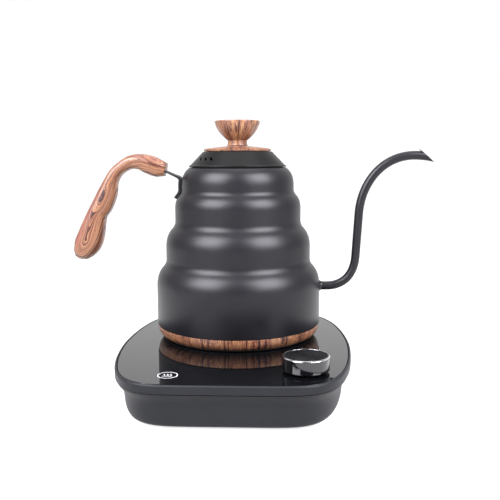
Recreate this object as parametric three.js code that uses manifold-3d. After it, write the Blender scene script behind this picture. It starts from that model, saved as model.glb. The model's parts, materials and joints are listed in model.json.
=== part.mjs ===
// Gooseneck electric kettle on its glass-topped power base.
// Millimetres, +Z up. The origin is on the kettle's vertical axis, in the plane the feet stand on.
// +X runs towards the spout and -Y towards the side with the dial and the touch key.
// The base is drawn upwards from the table. The dial, the kettle and the lid hang in groups whose
// own zero height is the top of the glass.

import * as THREE from 'three';
import { mergeVertices } from 'three/addons/utils/BufferGeometryUtils.js';
import Module from 'manifold-3d';

const wasm = await Module();
wasm.setup();

// Fits
const touchGap = 0.3; // between pieces that rest on, or are fixed to, each other
const looseGap = 0.6; // round a piece that drops or lifts into place

// Facets
const planSides = 32; // round the base
const wideSides = 28; // round the kettle and other wide turned pieces
const midSides = 20;
const smallSides = 14;
const screwSides = 8;

// Power base
const glassHeight = 35.5; // table to the top of the glass
const glassHalfWidth = 94.2;
const glassHalfDepth = 116.5;
const glassRear = 85; // kettle's axis to the rear edge of the glass
const glassCentreY = glassRear - glassHalfDepth;
const planPowerX = 6.4; // exponents of the plan: bowed sides, flatter ends
const planPowerY = 1.78;
const cornerAngle = 1; // along the plan, where the screw posts stand
const glassThickness = 4;
const rimWidth = 2;
const rimDepth = 6.7; // glass top down to the seam under the rim
const rimLedge = 6; // how far the rim reaches under the glass
const seamGap = 0.5;
const housingWall = 2.2;
const footLift = 1.5; // table to the underside of the plate
const plateThickness = 2.5;
const plateInset = 13;
const footRadius = 7;
const footPocket = 1.2;
const footInsetX = 41.7;
const footInsetY = 60;
const postRadius = 3.9;
const postInset = 26;
const screwRadius = 1.6;
const screwHeadRadius = 3.2;
const screwHeadHeight = 1.4;

// Power coupling
const bossRadius = 18.7;
const bossHeight = 4.8;
const postTop = 14.5;
const couplingPostRadius = 6.8;
const pinRadius = 2;
const couplingDepth = 16; // below the top of the glass
const socketRadius = bossRadius + 2;

// Electronics
const boardThickness = 1.6;
const powerBoardHeight = 8;
const controlBoardDrop = 12.7; // underside of the board below the top of the glass
const controlBoardDepth = 28;
const encoderSide = 13;
const encoderHeight = 6.4;
const bushRadius = 3.5;
const bushTop = 2.2; // above the glass
const shaftRadius = 3;
const shaftFlat = 2.2;

// Dial
const dialSideInset = 37.2; // from the side edge of the glass
const dialFrontInset = 34; // from its front edge
const dialX = glassHalfWidth - dialSideInset;
const dialY = glassCentreY - glassHalfDepth + dialFrontInset;
const dialRadius = 17.6;
const dialTop = 12.6;
const dialFloat = 1.6; // under the dial, which leaves room to press it
const dialTravel = 1.2;

// Touch key
const keySideInset = 50.2;
const keyFrontInset = 22;
const keyX = keySideInset - glassHalfWidth;
const keyY = glassCentreY - glassHalfDepth + keyFrontInset;

// Kettle body, heights above the glass
const bodyRadius = 72;
const bandStep1 = 8.5; // lowest band to the second
const bandStep2 = 8.4; // second to the third
const bandStep3 = 6; // third to the top band
const bodyBottom = 12;
const crease1 = 65.2;
const crease2 = 98.7;
const crease3 = 127;
const domeStart = 133;
const domeTop = 148.6;
const mouthRadius = 40;
const domeEdgeRadius = mouthRadius + 2;
const bodyWall = 1;

// Under the kettle
const floorHeight = 24;
const floorThickness = 1.5;
const floorSkirt = 8;
const studCircle = socketRadius + 13.3;
const studRadius = 3.4;
const studBottom = 11;
const elementCircle = 46;
const elementRadius = 3.3;
const ringBottom = 2;
const ringInnerRadius = 62.6;
const ringFootWidth = 3.9;
const coverHeight = 1.7;

// Spout
const spoutRadius = 3.75;
const spoutBore = 2.7;
const spoutHeight = 44;

// Handle
const strapThickness = 1.5;
const strapWidth = 14;
const gripPower = 2.7; // exponent of the grip's section

// Lid
const lidFlangeRadius = mouthRadius + 2.4;
const lidFlangeHeight = 1.3;
const lidWall = 1.2;
const lidTopHeight = 162.2;
const lidTopRadius = 30.3;
const steamSlotTurns = [34, 45.5, 56];
const steamSlotLean = 0.85;
const steamSlotLength = 5.2;
const steamSlotWidth = 1.5;
const discRadius = 29.2;
const discEdge = 2.2;
const discTop = 167;
const knobNeckRadius = 8.4;
const knobRimRadius = 19.7;
const knobTop = 188.6;
const cupDepth = 11;
const cupWall = 1;
const sealThickness = 2.4;
const lidScrewRadius = 2;

const bandRadius2 = bodyRadius - bandStep1;
const bandRadius3 = bandRadius2 - bandStep2;
const bandRadius4 = bandRadius3 - bandStep3;
const rimBottom = glassHeight - rimDepth;
const glassUnder = glassHeight - glassThickness;
const controlBoardHeight = glassHeight - controlBoardDrop;
const controlBoardWidth = 2 * dialX + 2;
const housingScrewLength = controlBoardHeight - 9.8;
const plateTop = footLift + plateThickness;

// Colours and finishes
function finish(color, roughness, metalness = 0) {
  return new THREE.MeshStandardMaterial({ color, roughness, metalness });
}
const satinBlack = finish(0x222225, 0.42, 0.35);
const lidBlack = finish(0x18181a, 0.45, 0.3);
const woodPrint = finish(0xa8724d, 0.5);
const blackGlass = finish(0x08080a, 0.04);
const basePlastic = finish(0x3a3b3f, 0.45);
const underPlastic = finish(0x242426, 0.6);
const dialBlack = finish(0x0d0d0f, 0.2);
const brightMetal = finish(0xd8d8da, 0.15, 1);
const spunMetal = finish(0x2c2c2e, 0.35, 0.8);
const plainSteel = finish(0xb8b8b8, 0.3, 1);
const brass = finish(0xc8a050, 0.35, 1);
const rubber = finish(0x1a1a1a, 0.85);
const silicone = finish(0xc9c5bb, 0.6);
const boardGreen = finish(0x1f5a38, 0.5);
const partBlack = finish(0x17171a, 0.5);
const relayBlue = finish(0x2b5fa8, 0.45);
const windingYellow = finish(0xd8b840, 0.5);
const brownLead = finish(0x6a3c20, 0.5);
const blueLead = finish(0x2a55a0, 0.5);
const earthLead = finish(0x7a9a2a, 0.5);
const greyRibbon = finish(0x9a9a9e, 0.55);

// Merged copy of a closed geometry, without empty triangles and with its faces pointing out
function closed(geometry) {
  const bare = new THREE.BufferGeometry();
  bare.setAttribute('position', geometry.getAttribute('position'));
  bare.setIndex(geometry.getIndex());
  const merged = mergeVertices(bare, 1e-4);
  const position = merged.getAttribute('position');
  const index = merged.getIndex();
  const a = new THREE.Vector3();
  const b = new THREE.Vector3();
  const c = new THREE.Vector3();
  const corners = [];
  let volume = 0;
  for (let i = 0; i < index.count; i += 3) {
    const tri = [index.getX(i), index.getX(i + 1), index.getX(i + 2)];
    if (new Set(tri).size < 3) continue;
    a.fromBufferAttribute(position, tri[0]);
    b.fromBufferAttribute(position, tri[1]);
    c.fromBufferAttribute(position, tri[2]);
    volume += a.dot(b.cross(c));
    corners.push(tri);
  }
  const facing = volume < 0 ? corners.map(([p, q, r]) => [p, r, q]) : corners;
  const solid = new THREE.BufferGeometry();
  solid.setAttribute('position', position);
  solid.setIndex(facing.flat());
  return solid;
}

function toManifold(geometry) {
  const vertProperties = new Float32Array(geometry.getAttribute('position').array);
  const triVerts = new Uint32Array(geometry.getIndex().array);
  return new wasm.Manifold(new wasm.Mesh({ numProp: 3, vertProperties, triVerts }));
}

function toGeometry(manifold) {
  const mesh = manifold.getMesh();
  const geometry = new THREE.BufferGeometry();
  geometry.setAttribute('position', new THREE.BufferAttribute(mesh.vertProperties, 3));
  geometry.setIndex(new THREE.BufferAttribute(mesh.triVerts, 1));
  return geometry;
}

function cut(body, ...tools) {
  return toGeometry(tools.reduce((rest, tool) => rest.subtract(toManifold(tool)), toManifold(body)));
}

function join(body, ...parts) {
  return toGeometry(parts.reduce((sum, part) => sum.add(toManifold(part)), toManifold(body)));
}

function common(body, tool) {
  return toGeometry(toManifold(body).intersect(toManifold(tool)));
}

// A profile of [radius, height] pairs turned about Z. It starts and ends on the axis.
function turned(profile, sides = wideSides) {
  const points = profile.map(([radius, height]) => new THREE.Vector2(radius, height));
  return closed(new THREE.LatheGeometry(points, sides)).rotateX(Math.PI / 2);
}

// The same for a ring, whose profile closes on itself
function ring(profile, sides = wideSides) {
  return turned([...profile, profile[0]], sides);
}

function rod(radius, bottom, top, sides = smallSides) {
  return turned([[0, bottom], [radius, bottom], [radius, top], [0, top]], sides);
}

function box(width, depth, bottom, top) {
  return closed(new THREE.BoxGeometry(width, depth, top - bottom)).translate(0, 0, (bottom + top) / 2);
}

// Skins a row of closed outlines, capped at both ends, or joined end to end into a ring
function lofted(outlines, endToEnd = false) {
  const count = outlines[0].length;
  const points = outlines.flat();
  const index = [];
  const spans = endToEnd ? outlines.length : outlines.length - 1;
  for (let row = 0; row < spans; row += 1) {
    const low = row * count;
    const high = ((row + 1) % outlines.length) * count;
    for (let i = 0; i < count; i += 1) {
      const j = (i + 1) % count;
      index.push(low + i, low + j, high + j, low + i, high + j, high + i);
    }
  }
  const caps = endToEnd ? [] : [0, outlines.length - 1];
  for (const row of caps) {
    const centre = new THREE.Vector3();
    outlines[row].forEach((point) => centre.addScaledVector(point, 1 / count));
    points.push(centre);
    for (let i = 0; i < count; i += 1) {
      const j = (i + 1) % count;
      const [p, q] = row === 0 ? [j, i] : [i, j];
      index.push(row * count + p, row * count + q, points.length - 1);
    }
  }
  const geometry = new THREE.BufferGeometry().setFromPoints(points);
  geometry.setIndex(index);
  return closed(geometry);
}

// Point of a rounded-rectangle outline at the angle t
function superPoint(halfWidth, halfDepth, powerX, powerY, t) {
  const x = Math.sign(Math.cos(t)) * Math.abs(Math.cos(t)) ** (2 / powerX) * halfWidth;
  const y = Math.sign(Math.sin(t)) * Math.abs(Math.sin(t)) ** (2 / powerY) * halfDepth;
  return [x, y];
}

// Point of the base's plan, moved in from the edge of the glass
function planAt(inset, t) {
  const halfWidth = glassHalfWidth - inset;
  const halfDepth = glassHalfDepth - inset;
  return superPoint(halfWidth, halfDepth, planPowerX, planPowerY, t);
}

function planOutline(inset, height) {
  return Array.from({ length: planSides }, (_, i) => {
    const [x, y] = planAt(inset, (i / planSides) * 2 * Math.PI);
    return new THREE.Vector3(x, glassCentreY + y, height);
  });
}

// Point near one of the four corners of the plan
function cornerPoint(inset, signX, signY) {
  const [x, y] = planAt(inset, cornerAngle);
  return [signX * x, glassCentreY + signY * y];
}

// Line of [x, y] pairs moved to its left by a distance, with mitred corners
function offsetLine(line, distance) {
  const points = line.map(([x, y]) => new THREE.Vector2(x, y));
  return points.map((point, i) => {
    const before = points[Math.max(i - 1, 0)];
    const after = points[Math.min(i + 1, points.length - 1)];
    const into = point.clone().sub(i ? before : point.clone().multiplyScalar(2).sub(after)).normalize();
    const out = (i < points.length - 1 ? after.clone().sub(point) : into.clone()).normalize();
    const leftIn = new THREE.Vector2(-into.y, into.x);
    const leftOut = new THREE.Vector2(-out.y, out.x);
    const mitre = leftIn.clone().add(leftOut).normalize();
    const reach = distance / mitre.dot(leftOut);
    return [point.x + mitre.x * reach, point.y + mitre.y * reach];
  });
}

// Strip of one thickness along a line of [x, z] pairs, centred on y = 0
function strip(line, thickness, width) {
  const left = offsetLine(line, thickness / 2);
  const right = offsetLine(line, -thickness / 2).reverse();
  const shape = new THREE.Shape([...left, ...right].map(([x, z]) => new THREE.Vector2(x, z)));
  const slab = closed(new THREE.ExtrudeGeometry(shape, { depth: width, bevelEnabled: false }));
  return slab.rotateX(Math.PI / 2).translate(0, width / 2, 0);
}

function disc(radius, sides) {
  const shape = new THREE.Shape();
  for (let i = 0; i < sides; i += 1) {
    const t = (i / sides) * 2 * Math.PI;
    if (i === 0) shape.moveTo(radius, 0);
    else shape.lineTo(radius * Math.cos(t), radius * Math.sin(t));
  }
  return shape;
}

function tube(path, radius, steps, sides = 8) {
  return closed(new THREE.ExtrudeGeometry(disc(radius, sides), { extrudePath: path, steps }));
}

function smoothPath(points) {
  return new THREE.CatmullRomCurve3(points.map(([x, y, z]) => new THREE.Vector3(x, y, z)));
}

function piece(parent, name, geometry, material) {
  const mesh = new THREE.Mesh(geometry, material);
  mesh.name = name;
  parent.add(mesh);
}

// Pan-head screw with its head down at zero height
function screw(radius, headRadius, headHeight, length) {
  const shape = [[0, 0], [headRadius * 0.8, 0], [headRadius, headHeight * 0.5], [headRadius, headHeight]];
  return turned([...shape, [radius, headHeight], [radius, length], [0, length]], screwSides);
}

const kettleSet = new THREE.Group();
const base = new THREE.Group();
const dial = new THREE.Group();
dial.position.set(dialX, dialY, glassHeight);
const kettle = new THREE.Group();
kettle.position.z = glassHeight;
const lid = new THREE.Group();
kettle.add(lid);
kettleSet.add(base, dial, kettle);

// Glass top, open for the coupling and for the bush of the encoder
{
  const plate = lofted([planOutline(0, glassUnder), planOutline(0, glassHeight)]);
  const couplingHole = rod(bossRadius + looseGap, glassUnder - 1, glassHeight + 1, midSides);
  const bushHole = rod(bushRadius + looseGap, glassUnder - 1, glassHeight + 1);
  bushHole.translate(dialX, dialY, 0);
  piece(base, 'glass_panel', cut(plate, couplingHole, bushHole), blackGlass);
}

// Rim: an angle section round the glass with a ledge under it
{
  const ledgeTop = glassUnder - touchGap;
  const section = [
    [-rimWidth, rimBottom],
    [-rimWidth, glassHeight - 0.8],
    [0.8 - rimWidth, glassHeight],
    [-touchGap, glassHeight],
    [-touchGap, ledgeTop],
    [rimLedge, ledgeTop],
    [rimLedge, rimBottom],
  ];
  const rim = lofted(section.map(([inset, height]) => planOutline(inset, height)), true);
  piece(base, 'top_frame', rim, basePlastic);
}

// Lower shell: flares in under the rim, falls almost straight and turns under to the plate.
// Each point is an inset and a share of the height between the plate and the seam.
const shellTop = rimBottom - seamGap;
const housingLine = [
  [plateInset - looseGap - 0.3, 0],
  [8.5, 0.011],
  [6.4, 0.071],
  [5.4, 0.183],
  [4.9, 0.317],
  [4.5, 0.485],
  [3.8, 0.627],
  [2.6, 0.75],
  [0.3, 0.877],
  [-1.6, 1],
].map(([inset, share]) => [inset, footLift + share * (shellTop - footLift)]);

function housingInsetAt(height) {
  const above = housingLine.findIndex(([, z]) => z >= height);
  const [insetLow, low] = housingLine[above - 1];
  const [insetHigh, high] = housingLine[above];
  return insetLow + ((insetHigh - insetLow) * (height - low)) / (high - low);
}

const glandHeight = footLift + 0.3545 * (shellTop - footLift); // a third of the way up the wall
const glandRadius = 5.6;
const glandFlange = 2;
const glandInset = housingInsetAt(glandHeight + glandRadius + glandFlange);
const glandWall = glassCentreY + glassHalfDepth - glandInset;
const screwSpots = [[-1, -1], [1, -1], [1, 1], [-1, 1]];

{
  const level = (height) => Math.min(Math.max(height, footLift), shellTop);
  const inner = offsetLine(housingLine, -housingWall).filter((_, i) => i % 2 === 0).reverse();
  const innerLine = inner.map(([inset, height]) => [inset, level(height)]);
  const walls = [...housingLine, ...innerLine].map(([inset, height]) => planOutline(inset, height));
  const postBottom = plateTop + touchGap;
  const postHeight = controlBoardHeight - 2;
  const wallInset = housingInsetAt(postBottom + 6) + housingWall / 2;
  const posts = screwSpots.map(([signX, signY]) => {
    const [x, y] = cornerPoint(postInset, signX, signY);
    const [wallX, wallY] = cornerPoint(wallInset, signX, signY);
    const reach = Math.hypot(wallX - x, wallY - y);
    const rib = box(reach, 2, postBottom + 3, postBottom + 9).translate(reach / 2, 0, 0);
    rib.rotateZ(Math.atan2(wallY - y, wallX - x));
    const bore = rod(screwRadius + touchGap, postBottom - 1, postHeight - 2, screwSides);
    return cut(join(rod(postRadius, postBottom, postHeight, 12), rib), bore).translate(x, y, 0);
  });
  const glandHole = rod(glandRadius + touchGap, -12, 12).rotateX(Math.PI / 2);
  glandHole.translate(0, glandWall, glandHeight);
  piece(base, 'lower_housing', cut(join(lofted(walls, true), ...posts), glandHole), basePlastic);
}

// Underside plate with pockets for the feet, screw holes and pads under the power board
const boardHalfWidth = 34;
const boardNearY = 22;
const boardFarY = 62;
const footSpots = screwSpots.map(([signX, signY]) => {
  const x = signX * (glassHalfWidth - footInsetX);
  return [x, glassCentreY + signY * (glassHalfDepth - footInsetY)];
});
{
  const plate = lofted([planOutline(plateInset, footLift), planOutline(plateInset, plateTop)]);
  const padX = boardHalfWidth - 6;
  const padRadius = 2.5;
  const pads = [-padX, padX].flatMap((x) => [boardNearY + 6, boardFarY - 6].map((y) => (
    rod(padRadius, footLift + 0.5, powerBoardHeight - touchGap, screwSides).translate(x, y, 0)
  )));
  const pockets = footSpots.map(([x, y]) => (
    rod(footRadius + touchGap, footLift - 1, footLift + footPocket).translate(x, y, 0)
  ));
  const screwHoles = screwSpots.map(([signX, signY]) => {
    const [x, y] = cornerPoint(postInset, signX, signY);
    const headHole = rod(screwHeadRadius + touchGap, footLift - 1, footLift + 1.6, screwSides);
    const shankHole = rod(screwRadius + touchGap, footLift, plateTop + 1, screwSides);
    return join(headHole, shankHole).translate(x, y, 0);
  });
  piece(base, 'bottom_plate', cut(join(plate, ...pads), ...pockets, ...screwHoles), underPlastic);
}

// Feet and the screws from below
footSpots.forEach(([x, y], i) => {
  const top = footLift + footPocket - touchGap;
  const edge = 0.8;
  const foot = turned([
    [0, 0],
    [footRadius - edge, 0],
    [footRadius, edge],
    [footRadius, top],
    [0, top],
  ], smallSides);
  piece(base, `foot_${i + 1}`, foot.translate(x, y, 0), rubber);
});
screwSpots.forEach(([signX, signY], i) => {
  const [x, y] = cornerPoint(postInset, signX, signY);
  const body = screw(screwRadius, screwHeadRadius, screwHeadHeight, housingScrewLength);
  piece(base, `housing_screw_${i + 1}`, body.translate(x, y, footLift - 0.1), plainSteel);
});

// Lower half of the power coupling: a flange under the glass, a boss through it and a post
{
  const bottom = glassHeight - couplingDepth;
  const flangeTop = glassUnder - touchGap;
  const bossTop = glassHeight + bossHeight;
  const shell = ring([
    [pinRadius + touchGap, bottom],
    [15, bottom],
    [15, flangeTop - 4],
    [27, flangeTop - 4],
    [27, flangeTop],
    [bossRadius, flangeTop],
    [bossRadius, bossTop],
    [couplingPostRadius, bossTop],
    [couplingPostRadius, glassHeight + postTop - 1],
    [couplingPostRadius - 1, glassHeight + postTop],
    [pinRadius + touchGap, glassHeight + postTop],
  ], midSides);
  const grooveBottom = bossTop - 6;
  const groove = (inner, outer) => ring([
    [inner - touchGap, grooveBottom],
    [outer + touchGap, grooveBottom],
    [outer + touchGap, bossTop + 1],
    [inner - touchGap, bossTop + 1],
  ], midSides);
  const contact = (inner, outer) => ring([
    [inner, grooveBottom + touchGap],
    [outer, grooveBottom + touchGap],
    [outer, bossTop - 1],
    [inner, bossTop - 1],
  ], midSides);
  piece(base, 'base_connector', cut(shell, groove(9.5, 10.7), groove(13.5, 14.7)), partBlack);
  piece(base, 'live_contact', contact(9.5, 10.7), brass);
  piece(base, 'neutral_contact', contact(13.5, 14.7), brass);
  const pinTop = glassHeight + postTop + 0.7;
  piece(base, 'connector_pin', rod(pinRadius, bottom - 1.5, pinTop, screwSides), brass);
}

// Mains board with its relay, transformer and terminal block
{
  const boardTop = powerBoardHeight + boardThickness;
  const onBoard = boardTop + touchGap;
  const boardMid = (boardNearY + boardFarY) / 2;
  const board = box(boardHalfWidth * 2, boardFarY - boardNearY, powerBoardHeight, boardTop);
  piece(base, 'power_board', board.translate(0, boardMid, 0), boardGreen);
  piece(base, 'relay', box(16, 12, onBoard, onBoard + 13).translate(-22, boardMid - 6, 0), relayBlue);
  piece(base, 'transformer', box(18, 16, onBoard, onBoard + 15).translate(22, boardMid, 0), windingYellow);
  piece(base, 'terminal_block', box(20, 9, onBoard, onBoard + 9).translate(0, boardFarY - 8, 0), partBlack);
}

// Control board under the front of the glass
{
  const boardTop = controlBoardHeight + boardThickness;
  const onBoard = boardTop + touchGap;
  const underGlass = glassUnder - touchGap;
  const board = box(controlBoardWidth, controlBoardDepth, controlBoardHeight, boardTop);
  piece(base, 'control_board', board.translate(5, dialY, 0), boardGreen);
  piece(base, 'display_module', box(44, 16, onBoard, underGlass).translate(0, dialY, 0), partBlack);
  piece(base, 'touch_pad', rod(5, onBoard, underGlass).translate(keyX, keyY, 0), plainSteel);
  piece(base, 'buzzer', rod(5, onBoard, onBoard + 5).translate(dialX - 21, dialY + 4, 0), partBlack);
}

// Rotary encoder: a square case with a round hollow for the rotor, and a threaded bush on top
{
  const caseTop = -glassThickness - touchGap;
  const caseBottom = caseTop - encoderHeight;
  const hollowRadius = 5.2;
  const hollowBottom = caseBottom + 1.2;
  const hollowTop = caseTop - 1.2;
  const blank = join(
    box(encoderSide, encoderSide, caseBottom, caseTop),
    rod(bushRadius, caseTop - 1, bushTop),
  );
  const bore = rod(shaftRadius + touchGap, hollowTop - 1, bushTop + 1);
  const encoder = cut(blank, rod(hollowRadius, hollowBottom, hollowTop), bore);
  piece(base, 'encoder_body', encoder.translate(dialX, dialY, glassHeight), plainSteel);

  const nutBottom = touchGap;
  const nut = cut(rod(5.6, nutBottom, nutBottom + 1.6, 6), rod(bushRadius + touchGap, -1, 4));
  piece(base, 'encoder_nut', nut.translate(dialX, dialY, glassHeight), plainSteel);

  const shaftBottom = hollowBottom + touchGap + dialTravel;
  const shaftTop = dialTop - 3.6;
  const flatted = (radius, flat, bottom, top) => common(
    rod(radius, bottom, top),
    box(radius * 2 + 2, radius * 2 + 2, bottom - 1, top + 1).translate(0, flat - radius - 1, 0),
  );
  const shaftHole = flatted(shaftRadius + touchGap, shaftFlat + touchGap, hollowBottom, hollowTop);
  const rotor = cut(rod(hollowRadius - touchGap, hollowBottom + touchGap, hollowTop - touchGap), shaftHole);
  piece(dial, 'encoder_rotor', rotor, partBlack);
  piece(dial, 'knob_shaft', flatted(shaftRadius, shaftFlat, shaftBottom, shaftTop), plainSteel);
}

// Dial: a hollow body on the shaft, a bright ring round its top edge and a spun disc
{
  const shaftRoom = shaftRadius + touchGap;
  const recessTop = dialTop - 1.3;
  const hubBottom = bushTop + dialTravel + touchGap;
  const trimInner = dialRadius - 1.3;
  piece(dial, 'knob_body', turned([
    [0, dialTop - 3.3],
    [shaftRoom, dialTop - 3.3],
    [shaftRoom, hubBottom],
    [shaftRoom + 2, hubBottom],
    [shaftRoom + 2, recessTop - 4],
    [dialRadius - 2.6, recessTop - 4],
    [dialRadius - 2.6, dialFloat],
    [dialRadius - 0.6, dialFloat],
    [dialRadius, dialFloat + 0.6],
    [dialRadius, recessTop],
    [0, recessTop],
  ]), dialBlack);
  piece(dial, 'knob_trim_ring', ring([
    [trimInner, recessTop + touchGap],
    [dialRadius, recessTop + touchGap],
    [dialRadius, dialTop - 0.7],
    [trimInner + 0.6, dialTop],
    [trimInner, dialTop],
  ]), brightMetal);
  const capRadius = trimInner - touchGap;
  piece(dial, 'knob_cap', rod(capRadius, recessTop + touchGap, dialTop - 0.2, wideSides), spunMetal);
}

// Cord gland: a flanged bush in the rear wall with a flat slot for the cord
{
  const inner = glandWall - 9;
  const outer = glandWall + 2.6;
  const bush = join(
    rod(glandRadius, inner, outer),
    rod(glandRadius + glandFlange, glandWall + touchGap, outer),
  );
  const slot = box(7, 3.6, inner - 1, outer + 1);
  const gland = cut(bush, slot).rotateX(-Math.PI / 2).translate(0, 0, glandHeight);
  piece(base, 'cord_gland', gland, rubber);
}

// Inner wiring
{
  const start = powerBoardHeight + boardThickness + touchGap;
  const end = glassHeight - couplingDepth - touchGap;
  const climb = end - start;
  const bend = climb * 0.3226;
  const wires = [['live_lead', -8, brownLead], ['neutral_lead', 0, blueLead], ['earth_lead', 8, earthLead]];
  wires.forEach(([name, x, material]) => {
    const path = smoothPath([
      [x, boardNearY + 5, start],
      [x, boardNearY + 4.6, start + bend],
      [x, boardNearY - 3, start + climb * 0.5914],
      [x, 9 + bend / 3, end - bend],
      [x, 9, end],
    ]);
    piece(base, name, tube(path, 1.1, 10), material);
  });
  const ribbonEnd = dialY + 20;
  const line = [
    [boardNearY - 0.4, powerBoardHeight + 0.8],
    [boardNearY - 8, powerBoardHeight + 1.2],
    [ribbonEnd + 14, powerBoardHeight + 1.2],
    [ribbonEnd, controlBoardHeight + 0.8],
    [dialY + controlBoardDepth / 2 + touchGap, controlBoardHeight + 0.8],
  ];
  const ribbon = strip(line, 0.8, 8).rotateZ(Math.PI / 2).translate(-18, 0, 0);
  piece(base, 'ribbon_cable', ribbon, greyRibbon);
}

// Outer line of the kettle body. Each band rounds over in a convex shoulder and meets the band
// above in a soft hollow. The ratios are per millimetre of the step between the two bands.
const shoulderStart = 2.26;
const shoulderPull = 1.07;
const hollowStart = 0.345;
const hollowInset = 0.31;
const hollowEnd = 0.45;

function curvePoints(corners, steps) {
  const [a, b, c] = corners.map(([x, y]) => new THREE.Vector2(x, y));
  return new THREE.QuadraticBezierCurve(a, b, c).getPoints(steps).map((p) => [p.x, p.y]);
}

function shoulder(lower, upper, crease, convexSteps, hollowSteps) {
  const step = lower - upper;
  const turn = [upper + hollowInset * step, crease - hollowStart * step];
  const convex = [[lower, crease - shoulderStart * step], [lower, crease - shoulderPull * step], turn];
  const hollow = [turn, [upper, crease], [upper, crease + hollowEnd * step]];
  return [...curvePoints(convex, convexSteps), ...curvePoints(hollow, hollowSteps).slice(1)];
}

function bodyLine(convexSteps, hollowSteps) {
  const dome = [[bandRadius4, domeStart], [bandRadius4, domeStart + 11], [domeEdgeRadius, domeTop]];
  return [
    [bodyRadius, bodyBottom],
    ...shoulder(bodyRadius, bandRadius2, crease1, convexSteps, hollowSteps),
    ...shoulder(bandRadius2, bandRadius3, crease2, convexSteps, hollowSteps),
    ...shoulder(bandRadius3, bandRadius4, crease3, convexSteps, hollowSteps),
    ...curvePoints(dome, convexSteps + 1),
    [mouthRadius, domeTop],
  ];
}

function bodyRadiusAt(height) {
  const line = bodyLine(6, 4);
  const above = line.findIndex(([, z]) => z >= height);
  const [radiusLow, low] = line[above - 1];
  const [radiusHigh, high] = line[above];
  return radiusLow + ((radiusHigh - radiusLow) * (height - low)) / (high - low);
}

// Body: one steel wall, open below and at the mouth, pierced for the spout
{
  const outer = bodyLine(3, 1);
  const inner = offsetLine(bodyLine(2, 1), bodyWall).reverse();
  const wall = ring([...outer, ...inner]);
  const spoutHole = rod(spoutRadius + touchGap, bodyRadius - 12, bodyRadius + 6);
  spoutHole.rotateY(Math.PI / 2).translate(0, 0, spoutHeight);
  piece(kettle, 'kettle_body', cut(wall, spoutHole), satinBlack);
}

// Spout: straight out of the lowest band, up in a lazy S and over to a slanted lip.
// Distances out are from the body's wall.
{
  const at = (out, height) => new THREE.Vector3(bodyRadius + out, 0, height);
  const path = new THREE.CurvePath();
  const leave = at(6, spoutHeight);
  const riseStart = at(31.7, 72);
  const riseEnd = at(34, 108);
  const crest = at(80, 158.3);
  path.add(new THREE.LineCurve3(at(-3.5, spoutHeight), leave));
  path.add(new THREE.CubicBezierCurve3(leave, at(20, spoutHeight), at(30.8, 52), riseStart));
  path.add(new THREE.LineCurve3(riseStart, riseEnd));
  path.add(new THREE.CubicBezierCurve3(riseEnd, at(35.6, 133), at(52, 157.5), crest));
  path.add(new THREE.QuadraticBezierCurve3(crest, at(91, 158.5), at(103, 155)));
  const section = disc(spoutRadius, 10);
  section.holes.push(disc(spoutBore, 6));
  const pipe = closed(new THREE.ExtrudeGeometry(section, { extrudePath: path, steps: 32 }));
  const lipSlope = 0.85; // the lip runs down and away from the top edge of the tube
  const lipX = bodyRadius + 92.3;
  const lipTool = box(30, 30, -30, 30).translate(15, 0, 0).rotateY(-lipSlope).translate(lipX, 0, 157.3);
  piece(kettle, 'spout', cut(pipe, lipTool), satinBlack);
}

// Heater plate with a turned-down skirt, a hole for the probe and studs for the cover
const floorRadius = bodyRadius - bodyWall - touchGap;
const socketTop = floorHeight - touchGap;
const probeRadius = 2.2;
const sealRadius = 4;
const spin = (i) => (i * 2 * Math.PI) / 3 + Math.PI / 6;
{
  const plate = turned([
    [0, floorHeight],
    [floorRadius - 1.5, floorHeight],
    [floorRadius - 1.5, floorHeight - floorSkirt],
    [floorRadius, floorHeight - floorSkirt],
    [floorRadius, floorHeight + floorThickness],
    [0, floorHeight + floorThickness],
  ]);
  const studs = [0, 1, 2].map((i) => {
    const stud = rod(studRadius, studBottom, floorHeight + 0.5, 12);
    const bore = rod(screwRadius + touchGap, studBottom - 1, floorHeight - 2, screwSides);
    return cut(stud, bore).translate(studCircle, 0, 0).rotateZ(spin(i));
  });
  const probeHole = rod(sealRadius - 1, floorHeight - 1, floorHeight + 4).translate(0, studCircle - 2, 0);
  piece(kettle, 'vessel_floor', cut(join(plate, ...studs), probeHole), plainSteel);
}

// Sheathed heating element: most of a circle under the plate, its two ends turned down
{
  const open = 0.35; // half of the gap between the ends, in radians
  const height = floorHeight - elementRadius - touchGap;
  const points = [];
  for (let i = 0; i <= 16; i += 1) {
    const t = open + ((2 * Math.PI - 2 * open) * i) / 16 - Math.PI / 2;
    points.push([elementCircle * Math.cos(t), elementCircle * Math.sin(t), height]);
  }
  piece(kettle, 'heating_element', tube(smoothPath(points), elementRadius, 24), plainSteel);
}

// Probe through the plate in a rubber seal
{
  const y = studCircle - 2;
  const sealBottom = floorHeight - 2 - touchGap;
  const probe = turned([
    [0, sealBottom - 6],
    [probeRadius - 0.4, sealBottom - 6],
    [probeRadius - 0.4, floorHeight + 9],
    [0, floorHeight + 10.5],
  ], screwSides);
  piece(kettle, 'temperature_probe', probe.translate(0, y, 0), plainSteel);
  const inner = probeRadius - 0.1;
  const neck = sealRadius - 1 - touchGap;
  const seal = ring([
    [inner, sealBottom],
    [sealRadius, sealBottom],
    [sealRadius, floorHeight - touchGap],
    [neck, floorHeight - touchGap],
    [neck, floorHeight + floorThickness + touchGap],
    [inner, floorHeight + floorThickness + touchGap],
  ], smallSides);
  piece(kettle, 'probe_seal', seal.translate(0, y, 0), silicone);
}

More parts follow.
